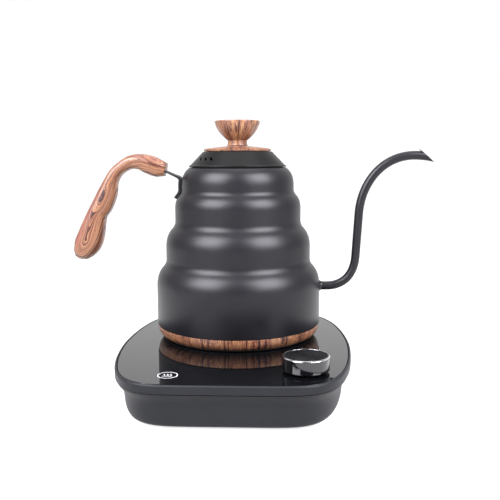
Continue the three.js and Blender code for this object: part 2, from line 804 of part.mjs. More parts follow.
// Upper half of the coupling: a round socket over the boss and its post
{
  const bossRoom = bossRadius + looseGap;
  const postRoom = couplingPostRadius + 1.2;
  piece(kettle, 'kettle_connector', turned([
    [0, postTop + 1.5],
    [postRoom, postTop + 1.5],
    [postRoom, bossHeight + 0.7],
    [bossRoom, bossHeight + 0.7],
    [bossRoom, coverHeight],
    [socketRadius, coverHeight],
    [socketRadius, socketTop - 4],
    [socketRadius + 5, socketTop - 4],
    [socketRadius + 5, socketTop],
    [0, socketTop],
  ], midSides), partBlack);
}

// Cover under the heater. Its lip reaches under the wood ring and its low rim stands on the glass.
const coverRadius = ringInnerRadius - touchGap;
const coverTop = coverHeight + 1.6;
{
  const hole = socketRadius + looseGap;
  const cover = ring([
    [hole, coverHeight],
    [coverRadius - 5, coverHeight],
    [coverRadius - 4, touchGap],
    [coverRadius - 1, touchGap],
    [coverRadius, 0.9],
    [coverRadius + 2.4, 0.9],
    [coverRadius + 2.4, ringBottom - touchGap],
    [coverRadius, ringBottom - touchGap],
    [coverRadius, 10],
    [coverRadius - 1.6, 10],
    [coverRadius - 1.6, coverTop],
    [hole, coverTop],
  ]);
  const holes = [0, 1, 2].map((i) => (
    rod(screwRadius + touchGap, 0, 6, screwSides).translate(studCircle, 0, 0).rotateZ(spin(i))
  ));
  piece(kettle, 'kettle_bottom_cover', cut(cover, ...holes), underPlastic);
  [0, 1, 2].forEach((i) => {
    const headTop = coverHeight - touchGap;
    const body = screw(screwRadius, screwHeadRadius, 1, 17).translate(studCircle, 0, headTop - 1);
    piece(kettle, `cover_screw_${i + 1}`, body.rotateZ(spin(i)), plainSteel);
  });
}

// Wood-grain ring: narrows towards the glass, with a lip up inside the body
{
  const top = bodyBottom - 0.7;
  const outer = bodyRadius - 0.6;
  const lip = floorRadius - touchGap;
  const foot = ringInnerRadius + ringFootWidth;
  const side = curvePoints([[foot, ringBottom], [outer, ringBottom + 3], [outer, top]], 3);
  piece(kettle, 'base_ring', ring([
    [ringInnerRadius, ringBottom],
    ...side,
    [lip, top],
    [lip, bodyBottom + 2],
    [lip - 3, bodyBottom + 2],
    [ringInnerRadius, top],
  ]), woodPrint);
}

// Handle. Its places along X are measured out from the top band of the body.
const strapEnd = [-14.9, 145.8]; // where the strap leaves the grip
const strapTilt = Math.atan2(-6.4, 13.8); // of its straight run, down towards the body
const bracketFoot = 122;
const bracketBend = 139.4;

// Steel strap: out of the grip, down to the dome and on over the crease below it
{
  const clear = touchGap + strapThickness / 2;
  const along = ([x, z], distance) => [
    x + Math.cos(strapTilt) * distance,
    z + Math.sin(strapTilt) * distance,
  ];
  const run = [along(strapEnd, -20), strapEnd].map(([x, z]) => [x - bandRadius4, z]);
  const heights = [bracketBend, 136, 130.5, 128, 126, 124, bracketFoot];
  const foot = heights.map((height) => [-(bodyRadiusAt(height) + clear + 0.3), height]);
  const strap = strip([...run, ...foot], strapThickness, strapWidth);
  const pinHole = rod(screwRadius + touchGap, -4, 4, screwSides);
  const [pinX, pinZ] = along(strapEnd, -11);
  pinHole.rotateY(-strapTilt).translate(pinX - bandRadius4, 0, pinZ);
  piece(kettle, 'handle_strap', cut(strap, pinHole), satinBlack);
}

// Grip: rounded sections along a curved spine. Each station is the spine's distance out, its
// height, half the depth seen from the side and half the width seen from the end.
const gripStations = [
  [-13.9, 146.9, 5.7, 8.2],
  [-21.2, 148.4, 8, 9.3],
  [-28.2, 151.1, 8.3, 9.6],
  [-36.2, 153.7, 7.1, 9.3],
  [-44.3, 153.5, 6.1, 9],
  [-51.9, 149.9, 5.4, 9],
  [-58.4, 144.3, 5.4, 9.2],
  [-62.8, 136.8, 6.1, 9.6],
  [-66.4, 126.5, 8.4, 10],
  [-71.1, 116.3, 9, 10.2],
  [-75.6, 109.2, 8.5, 10.3],
  [-78.4, 101.7, 9.5, 10.5],
  [-80.6, 94.6, 10.8, 10.7],
  [-83, 87, 11.7, 10.7],
  [-86, 81, 11.6, 10.5],
  [-89.4, 76, 10, 9.6],
  [-92.8, 72.3, 7.2, 7.4],
  [-95.3, 69.6, 2.9, 3.4],
];
{
  const spine = smoothPath(gripStations.map(([out, height]) => [out - bandRadius4, 0, height]));
  const sizes = smoothPath(gripStations.map(([, , depth, width]) => [depth, width, 0]));
  const sections = [];
  const count = gripStations.length - 1;
  for (let i = 0; i <= count; i += 1) {
    const centre = spine.getPoint(i / count);
    const size = sizes.getPoint(i / count);
    const tangent = spine.getTangent(i / count);
    const across = new THREE.Vector3(-tangent.z, 0, tangent.x);
    sections.push(Array.from({ length: 14 }, (_, k) => {
      const [a, b] = superPoint(size.x, size.y, gripPower, gripPower, (k / 14) * 2 * Math.PI);
      return centre.clone().addScaledVector(across, a).add(new THREE.Vector3(0, b, 0));
    }));
  }
  const [endX, endZ] = strapEnd;
  const slotThickness = strapThickness + 2 * touchGap;
  const slot = box(40, strapWidth + 2 * touchGap, -slotThickness / 2, slotThickness / 2);
  slot.translate(-touchGap, 0, 0).rotateY(-strapTilt).translate(endX - bandRadius4, 0, endZ);
  const head = rod(screwHeadRadius + touchGap, -14, -5, screwSides);
  const shank = rod(screwRadius + touchGap, -6, 5, screwSides);
  const pinX = endX - Math.cos(strapTilt) * 11 - bandRadius4;
  const pinZ = endZ - Math.sin(strapTilt) * 11;
  const screwRoom = join(head, shank).rotateY(-strapTilt).translate(pinX, 0, pinZ);
  piece(kettle, 'handle_grip', cut(lofted(sections), slot, screwRoom), woodPrint);
  const pin = screw(screwRadius, screwHeadRadius, 1.6, 11.2).translate(0, 0, -5 - touchGap - 1.6);
  piece(kettle, 'grip_screw', pin.rotateY(-strapTilt).translate(pinX, 0, pinZ), plainSteel);
}

// Lid shell: a spun cone with a flange on the body's edge, three slanted steam slots to the left
const flangeBottom = domeTop + 0.4;
const flangeTop = flangeBottom + lidFlangeHeight;
const shellInner = lidFlangeRadius - 2.1;
{
  const hole = lidScrewRadius + touchGap;
  const shell = ring([
    [hole, lidTopHeight],
    [lidTopRadius, lidTopHeight],
    [lidFlangeRadius, flangeTop],
    [lidFlangeRadius, flangeBottom],
    [shellInner, flangeBottom],
    [shellInner, flangeTop - 0.4],
    [lidTopRadius - 0.6, lidTopHeight - lidWall],
    [hole, lidTopHeight - lidWall],
  ]);
  const slotHeight = (flangeTop + lidTopHeight) / 2;
  const slotRadius = (lidTopRadius + lidFlangeRadius) / 2;
  const slots = steamSlotTurns.map((degrees) => {
    const blank = box(8, steamSlotWidth, -steamSlotLength / 2, steamSlotLength / 2);
    const slot = blank.rotateX(steamSlotLean).rotateY(-Math.PI / 4);
    return slot.translate(slotRadius, 0, slotHeight).rotateZ(Math.PI + THREE.MathUtils.degToRad(degrees));
  });
  piece(lid, 'lid_shell', cut(shell, ...slots), lidBlack);
}

// Cup that drops in the mouth, and the seal round it
const cupRadius = mouthRadius - sealThickness - touchGap;
{
  const cupTop = flangeBottom + touchGap;
  const cupBottom = domeTop - cupDepth;
  const cup = turned([
    [0, cupBottom],
    [cupRadius - 1, cupBottom],
    [cupRadius, cupBottom + 1],
    [cupRadius, cupTop],
    [shellInner - 1, cupTop],
    [shellInner - 1, cupTop + cupWall],
    [cupRadius - cupWall, cupTop + cupWall],
    [cupRadius - cupWall, cupBottom + cupWall],
    [0, cupBottom + cupWall],
  ]);
  const steamHoles = [0, 1, 2].map((i) => (
    rod(2.4, cupBottom - 1, cupBottom + 3, screwSides).translate(22, 0, 0).rotateZ(spin(i))
  ));
  piece(lid, 'lid_inner_cup', cut(cup, ...steamHoles), plainSteel);
  const sealInner = cupRadius + touchGap / 2;
  piece(lid, 'lid_seal', ring([
    [sealInner, domeTop - 3.5],
    [mouthRadius - touchGap - 0.6, domeTop - 3.5],
    [mouthRadius - touchGap, domeTop - 1.5],
    [mouthRadius - touchGap, domeTop + 0.2],
    [sealInner, domeTop + 0.2],
  ]), silicone);
}

// Wood disc, wood knob and the screw that holds both
{
  const hole = lidScrewRadius + touchGap;
  const bottom = lidTopHeight + touchGap;
  const seatRadius = knobNeckRadius + 0.6;
  const crownStart = [discRadius - 0.9, bottom + discEdge];
  const crown = curvePoints([crownStart, [20, discTop - 0.9], [seatRadius, discTop]], 3);
  piece(lid, 'lid_disc', ring([
    [hole, bottom],
    [discRadius, bottom],
    [discRadius, bottom + discEdge - 0.7],
    ...crown,
    [hole, discTop],
  ], midSides), woodPrint);

  const foot = discTop + touchGap;
  const boreTop = foot + 12;
  const neckTop = foot + 4.6;
  const bowlHeight = knobTop - 0.8 - neckTop;
  const bowl = curvePoints([
    [knobNeckRadius, neckTop],
    [knobRimRadius - 3.2, neckTop + bowlHeight * 0.42],
    [knobRimRadius, knobTop - 0.8],
  ], 4);
  piece(lid, 'lid_knob', turned([
    [0, boreTop],
    [hole, boreTop],
    [hole, foot],
    [knobNeckRadius + 0.4, foot],
    [knobNeckRadius, foot + 1.2],
    ...bowl,
    [knobRimRadius - 0.8, knobTop],
    [0, knobTop + 0.5],
  ], midSides), woodPrint);
  const headHeight = 1.8;
  const headBottom = lidTopHeight - lidWall - touchGap - headHeight;
  const body = screw(lidScrewRadius, 3.8, headHeight, boreTop - 1 - headBottom);
  piece(lid, 'lid_knob_screw', body.translate(0, 0, headBottom), plainSteel);
}

export default kettleSet;
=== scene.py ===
import json
import math

import bmesh
import bpy
from mathutils import Matrix, Vector


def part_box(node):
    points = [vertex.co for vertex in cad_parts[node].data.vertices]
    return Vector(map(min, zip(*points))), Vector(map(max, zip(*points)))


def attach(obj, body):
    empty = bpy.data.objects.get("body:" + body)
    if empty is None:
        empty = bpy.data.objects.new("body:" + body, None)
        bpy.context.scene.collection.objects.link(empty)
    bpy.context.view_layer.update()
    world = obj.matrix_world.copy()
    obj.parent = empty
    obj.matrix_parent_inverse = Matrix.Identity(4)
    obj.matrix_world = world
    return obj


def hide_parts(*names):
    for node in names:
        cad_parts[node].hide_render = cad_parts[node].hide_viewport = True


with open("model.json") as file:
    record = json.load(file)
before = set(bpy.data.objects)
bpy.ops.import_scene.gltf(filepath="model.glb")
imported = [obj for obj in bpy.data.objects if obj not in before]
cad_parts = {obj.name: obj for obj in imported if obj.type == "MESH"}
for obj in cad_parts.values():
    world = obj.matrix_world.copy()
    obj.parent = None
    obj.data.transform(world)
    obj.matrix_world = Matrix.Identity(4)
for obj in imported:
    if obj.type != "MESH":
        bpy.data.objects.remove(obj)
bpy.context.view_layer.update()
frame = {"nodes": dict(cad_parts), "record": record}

mm = 0.001
weldGap = 0.001 * mm
scene = bpy.context.scene
scene.view_settings.view_transform = "Standard"
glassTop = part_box("glass_panel")[1].z  # every height marked "above the glass" starts here


def addNode(tree, kind, inputs=None, **settings):
    node = tree.nodes.new(kind)
    for key, value in settings.items():
        setattr(node, key, value)
    for key, value in (inputs or {}).items():
        if isinstance(value, bpy.types.NodeSocket):
            tree.links.new(value, node.inputs[key])
        else:
            node.inputs[key].default_value = value
    return node


def maths(tree, operation, *values):
    # one arithmetic node; gives back its result
    return addNode(tree, "ShaderNodeMath", dict(enumerate(values)), operation=operation).outputs[0]


def colour(hexText):
    parts = [int(hexText[i:i + 2], 16) / 255 for i in (0, 2, 4)]
    return tuple(p / 12.92 if p <= 0.04045 else ((p + 0.055) / 1.055) ** 2.4 for p in parts) + (1,)


def ramp(node, stops):
    points = node.color_ramp.elements
    while len(points) > 1:
        points.remove(points[-1])
    for i, (place, hexText) in enumerate(stops):
        point = points[0] if i == 0 else points.new(place)
        point.position = place
        point.color = colour(hexText)


# materials

def newMaterial(name, **values):
    material = bpy.data.materials.new(name)
    material.use_nodes = True
    shader = material.node_tree.nodes["Principled BSDF"]
    for key, value in values.items():
        shader.inputs[key].default_value = value
    return material, material.node_tree, shader


def mottled(name, dark, light, grain, bump, rough, spread, **values):
    # fine moulded, coated or worked surface: colour, roughness and height all vary with one grain
    material, tree, shader = newMaterial(name, **values)
    place = addNode(tree, "ShaderNodeTexCoord")
    fine = addNode(tree, "ShaderNodeTexNoise", {"Vector": place.outputs["Object"], "Scale": 1 / (grain * mm),
        "Detail": 3.0, "Roughness": 0.6})
    broad = addNode(tree, "ShaderNodeTexNoise", {"Vector": place.outputs["Object"], "Scale": 28.0,
        "Detail": 2.0})
    shade = addNode(tree, "ShaderNodeMix", {0: broad.outputs["Fac"], 6: colour(dark), 7: colour(light)},
        data_type="RGBA")
    gloss = addNode(tree, "ShaderNodeMapRange", {"Value": fine.outputs["Fac"], "To Min": rough - spread,
        "To Max": rough + spread})
    height = addNode(tree, "ShaderNodeBump", {"Height": fine.outputs["Fac"], "Strength": bump,
        "Distance": 0.05 * mm})
    tree.links.new(shade.outputs[2], shader.inputs["Base Color"])
    tree.links.new(gloss.outputs["Result"], shader.inputs["Roughness"])
    tree.links.new(height.outputs["Normal"], shader.inputs["Normal"])
    return material


# powder coat on steel: a soft, slightly pebbled sheen
satinCoat = mottled("satinPowderCoatSteel", "0d0d10", "131317", 0.45, 0.35, 0.38, 0.05,
    **{"Specular IOR Level": 0.28})
# the lid's coat is a little blacker and tighter
lidCoat = mottled("satinLidCoatSteel", "080809", "0d0d0d", 0.35, 0.3, 0.36, 0.04,
    **{"Specular IOR Level": 0.14})
# ABS from a spark-eroded mould: an even grey-blue satin
basePlastic = mottled("sparkTexturedGreyAbs", "131417", "191a1d", 0.4, 0.45, 0.48, 0.05,
    **{"Specular IOR Level": 0.2})
# dull black moulding, faintly grained
underPlastic = mottled("matteBlackPolypropylene", "1c1c1e", "242427", 0.6, 0.5, 0.6, 0.06)
# smooth black moulding with a soft shine
couplingPlastic = mottled("smoothBlackNylon", "131315", "19191c", 0.8, 0.2, 0.42, 0.05)
# deep black gloss with clear reflections
dialGloss = mottled("polishedBlackAcrylic", "070709", "0a0a0d", 1.5, 0.03, 0.1, 0.02, **{"Coat Weight": 0.6})
# bright silver line, turned sharp
brightEdge = mottled("diamondCutAluminium", "d4d4d6", "e2e2e4", 0.5, 0.08, 0.14, 0.04, Metallic=1.0)
# flat black, no shine
rubberFoot = mottled("mattBlackRubber", "141414", "1e1e1e", 0.7, 0.6, 0.82, 0.06)
# milky, slightly see-through
sealSilicone = mottled("milkySilicone", "b9b5aa", "cbc8be", 1.2, 0.2, 0.5, 0.05,
    **{"Subsurface Weight": 0.2, "Subsurface Radius": (0.002, 0.002, 0.0018)})
# yellow metal, drawn lines
plainBrass = mottled("drawnBrass", "b08a3e", "c9a456", 0.6, 0.2, 0.3, 0.06, Metallic=1.0)
# dark green lacquer
boardMask = mottled("greenSolderMask", "154a2c", "1d5f3a", 0.8, 0.25, 0.35, 0.05)
# flat blue box
relayCase = mottled("blueRelayCase", "23538f", "2c63a8", 0.8, 0.2, 0.35, 0.05)
# yellow film tape
windingTape = mottled("yellowWindingTape", "c9a632", "dcbc48", 1.0, 0.4, 0.45, 0.08)
# brown sleeve
brownWire = mottled("brownPvcInsulation", "5c3218", "6c3e22", 0.8, 0.3, 0.45, 0.05)
# blue sleeve
blueWire = mottled("bluePvcInsulation", "21478c", "2c58a6", 0.8, 0.3, 0.45, 0.05)
# green and yellow sleeve
earthWire = mottled("greenYellowPvcInsulation", "5f8f22", "c0b428", 0.8, 0.3, 0.45, 0.05)
# grey flat cable
ribbonWire = mottled("greyRibbonCable", "8d8d92", "a2a2a6", 0.8, 0.3, 0.5, 0.05)


def blackGlassMaterial():
    # tempered glass, painted black behind: mirror gloss with a trace of handling haze
    material, tree, shader = newMaterial("backPaintedTemperedGlass",
        **{"IOR": 1.52, "Specular IOR Level": 0.5})
    place = addNode(tree, "ShaderNodeTexCoord")
    haze = addNode(tree, "ShaderNodeTexNoise", {"Vector": place.outputs["Object"], "Scale": 40.0,
        "Detail": 5.0})
    gloss = addNode(tree, "ShaderNodeMapRange", {"Value": haze.outputs["Fac"], "From Min": 0.35,
        "From Max": 0.75,
        "To Min": 0.015, "To Max": 0.05})
    shade = addNode(tree, "ShaderNodeMix", {0: haze.outputs["Fac"], 6: colour("050506"), 7: colour("090a0c")},
        data_type="RGBA")
    tree.links.new(gloss.outputs["Result"], shader.inputs["Roughness"])
    tree.links.new(shade.outputs[2], shader.inputs["Base Color"])
    return material


def spunMaterial(name, centre, groove, dark, light, rough):
    # turned metal: rings about the piece's own axis; drawn coarser than the cutter's feed so that they show
    material, tree, shader = newMaterial(name, Metallic=1.0, Anisotropic=0.7)
    place = addNode(tree, "ShaderNodeTexCoord")
    moved = addNode(tree, "ShaderNodeMapping", {"Vector": place.outputs["Object"],
        "Location": (-centre.x, -centre.y, 0)})
    flat = addNode(tree, "ShaderNodeVectorMath", {0: moved.outputs["Vector"], 1: (1, 1, 0)},
        operation="MULTIPLY")
    radius = addNode(tree, "ShaderNodeVectorMath", {0: flat.outputs["Vector"]}, operation="LENGTH")
    rings = addNode(tree, "ShaderNodeTexNoise", {"W": radius.outputs["Value"], "Scale": 1 / (groove * mm),
        "Detail": 2.0}, noise_dimensions="1D")
    shade = addNode(tree, "ShaderNodeMix", {0: rings.outputs["Fac"], 6: colour(dark), 7: colour(light)},
        data_type="RGBA")
    gloss = addNode(tree, "ShaderNodeMapRange", {"Value": rings.outputs["Fac"], "To Min": rough - 0.06,
        "To Max": rough + 0.06})
    height = addNode(tree, "ShaderNodeBump", {"Height": rings.outputs["Fac"], "Strength": 0.25,
        "Distance": 0.03 * mm})
    around = addNode(tree, "ShaderNodeTangent", direction_type="RADIAL", axis="Z")
    tree.links.new(around.outputs["Tangent"], shader.inputs["Tangent"])
    tree.links.new(shade.outputs[2], shader.inputs["Base Color"])
    tree.links.new(gloss.outputs["Result"], shader.inputs["Roughness"])
    tree.links.new(height.outputs["Normal"], shader.inputs["Normal"])
    return material


woodStops = [(0.26, "1c0a07"), (0.34, "3c170e"), (0.41, "6c3b2b"), (0.46, "94684a"), (0.495, "3c180f"),
    (0.53, "74452f"), (0.59, "a37a54"), (0.65, "683b2b"), (0.70, "260d08"), (0.78, "512819")]


def woodFinish(tree, shader, streaks, fibres):
    # lacquered striped hardwood: dark and tan streaks, fine fibres, satin film with pores
    tone = addNode(tree, "ShaderNodeValToRGB", {"Fac": streaks})
    ramp(tone, woodStops)
    shade = addNode(tree, "ShaderNodeMix", {0: 0.35, 6: tone.outputs["Color"], 7: fibres},
        data_type="RGBA", blend_type="MULTIPLY")
    gloss = addNode(tree, "ShaderNodeMapRange", {"Value": streaks, "From Min": 0.3, "From Max": 0.7,
        "To Min": 0.46, "To Max": 0.34})
    height = addNode(tree, "ShaderNodeBump", {"Height": fibres, "Strength": 0.18, "Distance": 0.08 * mm})
    tree.links.new(shade.outputs[2], shader.inputs["Base Color"])
    tree.links.new(gloss.outputs["Result"], shader.inputs["Roughness"])
    tree.links.new(height.outputs["Normal"], shader.inputs["Normal"])


def turnedWood(name, count, lean, contrast):
    # streaks stand round the axis, as on wood turned from a striped blank; count of them per turn
    material, tree, shader = newMaterial(name, **{"Specular IOR Level": 0.45, "Coat Weight": 0.2,
        "Coat Roughness": 0.25})
    place = addNode(tree, "ShaderNodeTexCoord")
    flat = addNode(tree, "ShaderNodeVectorMath", {0: place.outputs["Object"], 1: (1, 1, 0)},
        operation="MULTIPLY")
    around = addNode(tree, "ShaderNodeVectorMath", {0: flat.outputs["Vector"]}, operation="NORMALIZE")
    turns = addNode(tree, "ShaderNodeVectorMath", {0: around.outputs["Vector"], "Scale": count / 6.28},
        operation="SCALE")
    rise = addNode(tree, "ShaderNodeVectorMath", {0: place.outputs["Object"],
        1: (lean * 20, lean * 20, lean * 90)},
        operation="MULTIPLY")
    where = addNode(tree, "ShaderNodeVectorMath", {0: turns.outputs["Vector"], 1: rise.outputs["Vector"]},
        operation="ADD")
    streaks = addNode(tree, "ShaderNodeTexNoise", {"Vector": where.outputs["Vector"], "Scale": 1.0,
        "Detail": 4.0,
        "Roughness": 0.62, "Distortion": 0.35})
    sharp = addNode(tree, "ShaderNodeMapRange", {"Value": streaks.outputs["Fac"], "From Min": 0.5 - contrast,
        "From Max": 0.5 + contrast, "To Min": 0.26, "To Max": 0.78})
    finer = addNode(tree, "ShaderNodeVectorMath", {0: where.outputs["Vector"], "Scale": 5.0},
        operation="SCALE")
    fibres = addNode(tree, "ShaderNodeTexNoise", {"Vector": finer.outputs["Vector"], "Scale": 1.0,
        "Detail": 3.0})
    woodFinish(tree, shader, sharp.outputs["Result"], fibres.outputs["Fac"])
    return material


def gripWood():
    # the grain attribute is the grip straightened out, in mm: depth, width and length along the spine
    material, tree, shader = newMaterial("lacqueredStripedHardwood", **{"Specular IOR Level": 0.45,
        "Coat Weight": 0.2, "Coat Roughness": 0.25})
    grain = addNode(tree, "ShaderNodeAttribute", attribute_name="grain")
    bend = addNode(tree, "ShaderNodeMapping", {"Vector": grain.outputs["Vector"],
        "Scale": (0.06, 0.05, 0.018)})
    drift = addNode(tree, "ShaderNodeTexNoise", {"Vector": bend.outputs["Vector"], "Scale": 1.0,
        "Detail": 2.0})
    parts = addNode(tree, "ShaderNodeSeparateXYZ", {0: grain.outputs["Vector"]})
    past = maths(tree, "SUBTRACT", parts.outputs["Z"], 112.0)
    closing = maths(tree, "MAXIMUM", past, 0.0)
    shorter = maths(tree, "MULTIPLY", closing, 0.42)
    narrow = maths(tree, "MULTIPLY", parts.outputs["Y"], 0.32)
    shift = maths(tree, "ADD", parts.outputs["X"], 1.6)
    cone = addNode(tree, "ShaderNodeCombineXYZ", {0: shift, 1: narrow, 2: shorter})
    distance = addNode(tree, "ShaderNodeVectorMath", {0: cone.outputs["Vector"]}, operation="LENGTH")
    wander = maths(tree, "MULTIPLY", drift.outputs["Fac"], 12.0)
    layer = maths(tree, "ADD", distance.outputs["Value"], wander)
    streaks = addNode(tree, "ShaderNodeTexNoise", {"W": layer, "Scale": 0.8, "Detail": 3.0,
        "Roughness": 0.6}, noise_dimensions="1D")
    sharp = addNode(tree, "ShaderNodeMapRange", {"Value": streaks.outputs["Fac"], "From Min": 0.34,
        "From Max": 0.66,
        "To Min": 0.28, "To Max": 0.76})
    long = addNode(tree, "ShaderNodeMapping", {"Vector": grain.outputs["Vector"], "Scale": (2.2, 2.2, 0.12)})
    fibres = addNode(tree, "ShaderNodeTexNoise", {"Vector": long.outputs["Vector"], "Scale": 1.0,
        "Detail": 4.0})
    woodFinish(tree, shader, sharp.outputs["Result"], fibres.outputs["Fac"])
    tone = shader.inputs["Base Color"].links[0].from_socket
    outer = addNode(tree, "ShaderNodeMapRange", {"Value": parts.outputs["X"], "From Min": -2.0,
        "From Max": -9.0,
        "To Min": 0.0, "To Max": 0.5})
    edged = addNode(tree, "ShaderNodeMix", {0: outer.outputs["Result"], 6: tone, 7: colour("6a3a37")},
        data_type="RGBA")
    tree.links.new(edged.outputs[2], shader.inputs["Base Color"])
    return material


axis = Vector((0, 0, 0))
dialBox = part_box("knob_body")
dialCentre = (dialBox[0] + dialBox[1]) / 2
blackGlass = blackGlassMaterial()
spunSteel = spunMaterial("spunStainlessSteel", axis, 0.5, "a9a9aa", "c4c4c4", 0.28)
plainSteel = mottled("brightZincSteel", "a8a8aa", "c0c0c2", 0.6, 0.2, 0.3, 0.06, Metallic=1.0)
spunCap = spunMaterial("spunBlackAnodisedCap", dialCentre, 0.45, "202022", "38383b", 0.3)
gripHardwood = gripWood()
knobWood = turnedWood("lacqueredKnobHardwood", 20, 0.2, 0.15)
discWood = turnedWood("lacqueredDiscHardwood", 46, 2.4, 0.15)
ringWood = turnedWood("lacqueredRingHardwood", 150, 0.4, 0.14)
print("materials ready")


# geometry node trees

def newTree(name, inputs):
    tree = bpy.data.node_groups.new(name, "GeometryNodeTree")
    tree.interface.new_socket(name="Geometry", in_out="INPUT", socket_type="NodeSocketGeometry")
    for label, kind in inputs:
        tree.interface.new_socket(name=label, in_out="INPUT", socket_type=kind)
    tree.interface.new_socket(name="Geometry", in_out="OUTPUT", socket_type="NodeSocketGeometry")
    return tree, tree.nodes.new("NodeGroupInput")


def closedTree(tree, given, geometry):
    # both trees end alike: real mesh, one material
    real = addNode(tree, "GeometryNodeRealizeInstances", {"Geometry": geometry})
    dressed = addNode(tree, "GeometryNodeSetMaterial", {"Geometry": real.outputs["Geometry"],
        "Material": given.outputs["Material"]})
    addNode(tree, "NodeGroupOutput", {"Geometry": dressed.outputs["Geometry"]})
    return tree


def sectionTree():
    # carries a profile of (outward, height) points round a circle, or round a rounded rectangle
    tree, given = newTree("profileRoundPlan", [("Sides", "NodeSocketInt"), ("Half Width", "NodeSocketFloat"),
        ("Half Depth", "NodeSocketFloat"), ("Centre X", "NodeSocketFloat"),
        ("Centre Y", "NodeSocketFloat"), ("Power X", "NodeSocketFloat"), ("Power Y", "NodeSocketFloat"),
        ("Material", "NodeSocketMaterial")])
    size = addNode(tree, "GeometryNodeAttributeDomainSize", {"Geometry": given.outputs["Geometry"]})
    columns = maths(tree, "ADD", given.outputs["Sides"], 1.0)
    grid = addNode(tree, "GeometryNodeMeshGrid", {"Vertices X": size.outputs["Point Count"],
        "Vertices Y": columns})
    index = addNode(tree, "GeometryNodeInputIndex")
    ratio = maths(tree, "DIVIDE", index.outputs[0], columns)
    nudged = maths(tree, "ADD", ratio, 0.0001)
    row = maths(tree, "FLOOR", nudged)
    start = maths(tree, "MULTIPLY", row, columns)
    column = maths(tree, "SUBTRACT", index.outputs[0], start)
    wrapped = maths(tree, "FLOORED_MODULO", column, given.outputs["Sides"])
    share = maths(tree, "DIVIDE", wrapped, given.outputs["Sides"])
    turn = maths(tree, "MULTIPLY", share, 2 * math.pi)
    spot = addNode(tree, "GeometryNodeInputPosition")
    sample = addNode(tree, "GeometryNodeSampleIndex", {"Geometry": given.outputs["Geometry"],
        "Value": spot.outputs[0], "Index": row}, data_type="FLOAT_VECTOR")
    profile = addNode(tree, "ShaderNodeSeparateXYZ", {0: sample.outputs[0]})
    sides = []
    ways = [("COSINE", "Half Width", "Centre X", "Power X"), ("SINE", "Half Depth", "Centre Y", "Power Y")]
    for wave, half, centre, power in ways:
        exponent = maths(tree, "DIVIDE", 2.0, given.outputs[power])
        unit = maths(tree, wave, turn)
        size = maths(tree, "ABSOLUTE", unit)
        curved = maths(tree, "POWER", size, exponent)
        sign = maths(tree, "SIGN", unit)
        signed = maths(tree, "MULTIPLY", curved, sign)
        reach = maths(tree, "ADD", profile.outputs["X"], given.outputs[half])
        out = maths(tree, "MULTIPLY", signed, reach)
        sides.append(maths(tree, "ADD", out, given.outputs[centre]))
    place = addNode(tree, "ShaderNodeCombineXYZ", {0: sides[0], 1: sides[1],
        2: profile.outputs["Z"]})
    moved = addNode(tree, "GeometryNodeSetPosition", {"Geometry": grid.outputs["Mesh"],
        "Position": place.outputs["Vector"]})
    merged = addNode(tree, "GeometryNodeMergeByDistance", {"Geometry": moved.outputs["Geometry"],
        "Distance": weldGap})
    smooth = addNode(tree, "GeometryNodeSetShadeSmooth", {"Geometry": merged.outputs["Geometry"]})
    return closedTree(tree, given, smooth.outputs["Geometry"])


def repeatTree():
    # stands one item on every point of a mesh
    tree, given = newTree("itemOnPoints", [("Item", "NodeSocketObject"), ("Scale", "NodeSocketFloat"),
        ("Material", "NodeSocketMaterial")])
    item = addNode(tree, "GeometryNodeObjectInfo", {"Object": given.outputs["Item"]})
    copies = addNode(tree, "GeometryNodeInstanceOnPoints", {"Points": given.outputs["Geometry"],
        "Instance": item.outputs["Geometry"], "Scale": given.outputs["Scale"]})
    return closedTree(tree, given, copies.outputs["Instances"])


profileRound = sectionTree()
itemOnPoints = repeatTree()


def placed(name, data):
    holder = bpy.data.objects.new(name, data)
    scene.collection.objects.link(holder)
    return holder


def smoothed(mesh):
    for face in mesh.polygons:
        face.use_smooth = True


def tidyMesh(mesh, sharp=38):
    work = bmesh.new()
    work.from_mesh(mesh)
    bmesh.ops.remove_doubles(work, verts=work.verts, dist=0.0005 * mm)
    bmesh.ops.dissolve_degenerate(work, edges=work.edges, dist=0.0001 * mm)
    bmesh.ops.recalc_face_normals(work, faces=work.faces)
    if work.calc_volume(signed=True) < 0:
        bmesh.ops.reverse_faces(work, faces=work.faces)
    work.to_mesh(mesh)
    work.free()
    smoothed(mesh)
    mesh.set_sharp_from_angle(angle=math.radians(sharp))


def meshPiece(name, points, faces, material, sharp=38):
    mesh = bpy.data.meshes.new(name)
    mesh.from_pydata([tuple(p) for p in points], [], faces)
    mesh.materials.append(material)
    tidyMesh(mesh, sharp)
    return placed(name, mesh)


def grown(name, points, tree, values, sharp=38):
    # runs a node tree on loose points and keeps the result as a plain mesh
    seed = bpy.data.meshes.new(name + "Points")
    seed.from_pydata(points, [], [])
    helper = placed(name + "Maker", seed)
    modifier = helper.modifiers.new("shape", "NODES")
    modifier.node_group = tree
    for item in tree.interface.items_tree:
        if item.in_out == "INPUT" and item.name in values:
            modifier[item.identifier] = values[item.name]
    result = bpy.data.meshes.new_from_object(helper.evaluated_get(bpy.context.evaluated_depsgraph_get()))
    helper.modifiers.remove(modifier)
    bpy.data.objects.remove(helper)
    result.name = name
    tidyMesh(result, sharp)
    return placed(name, result)


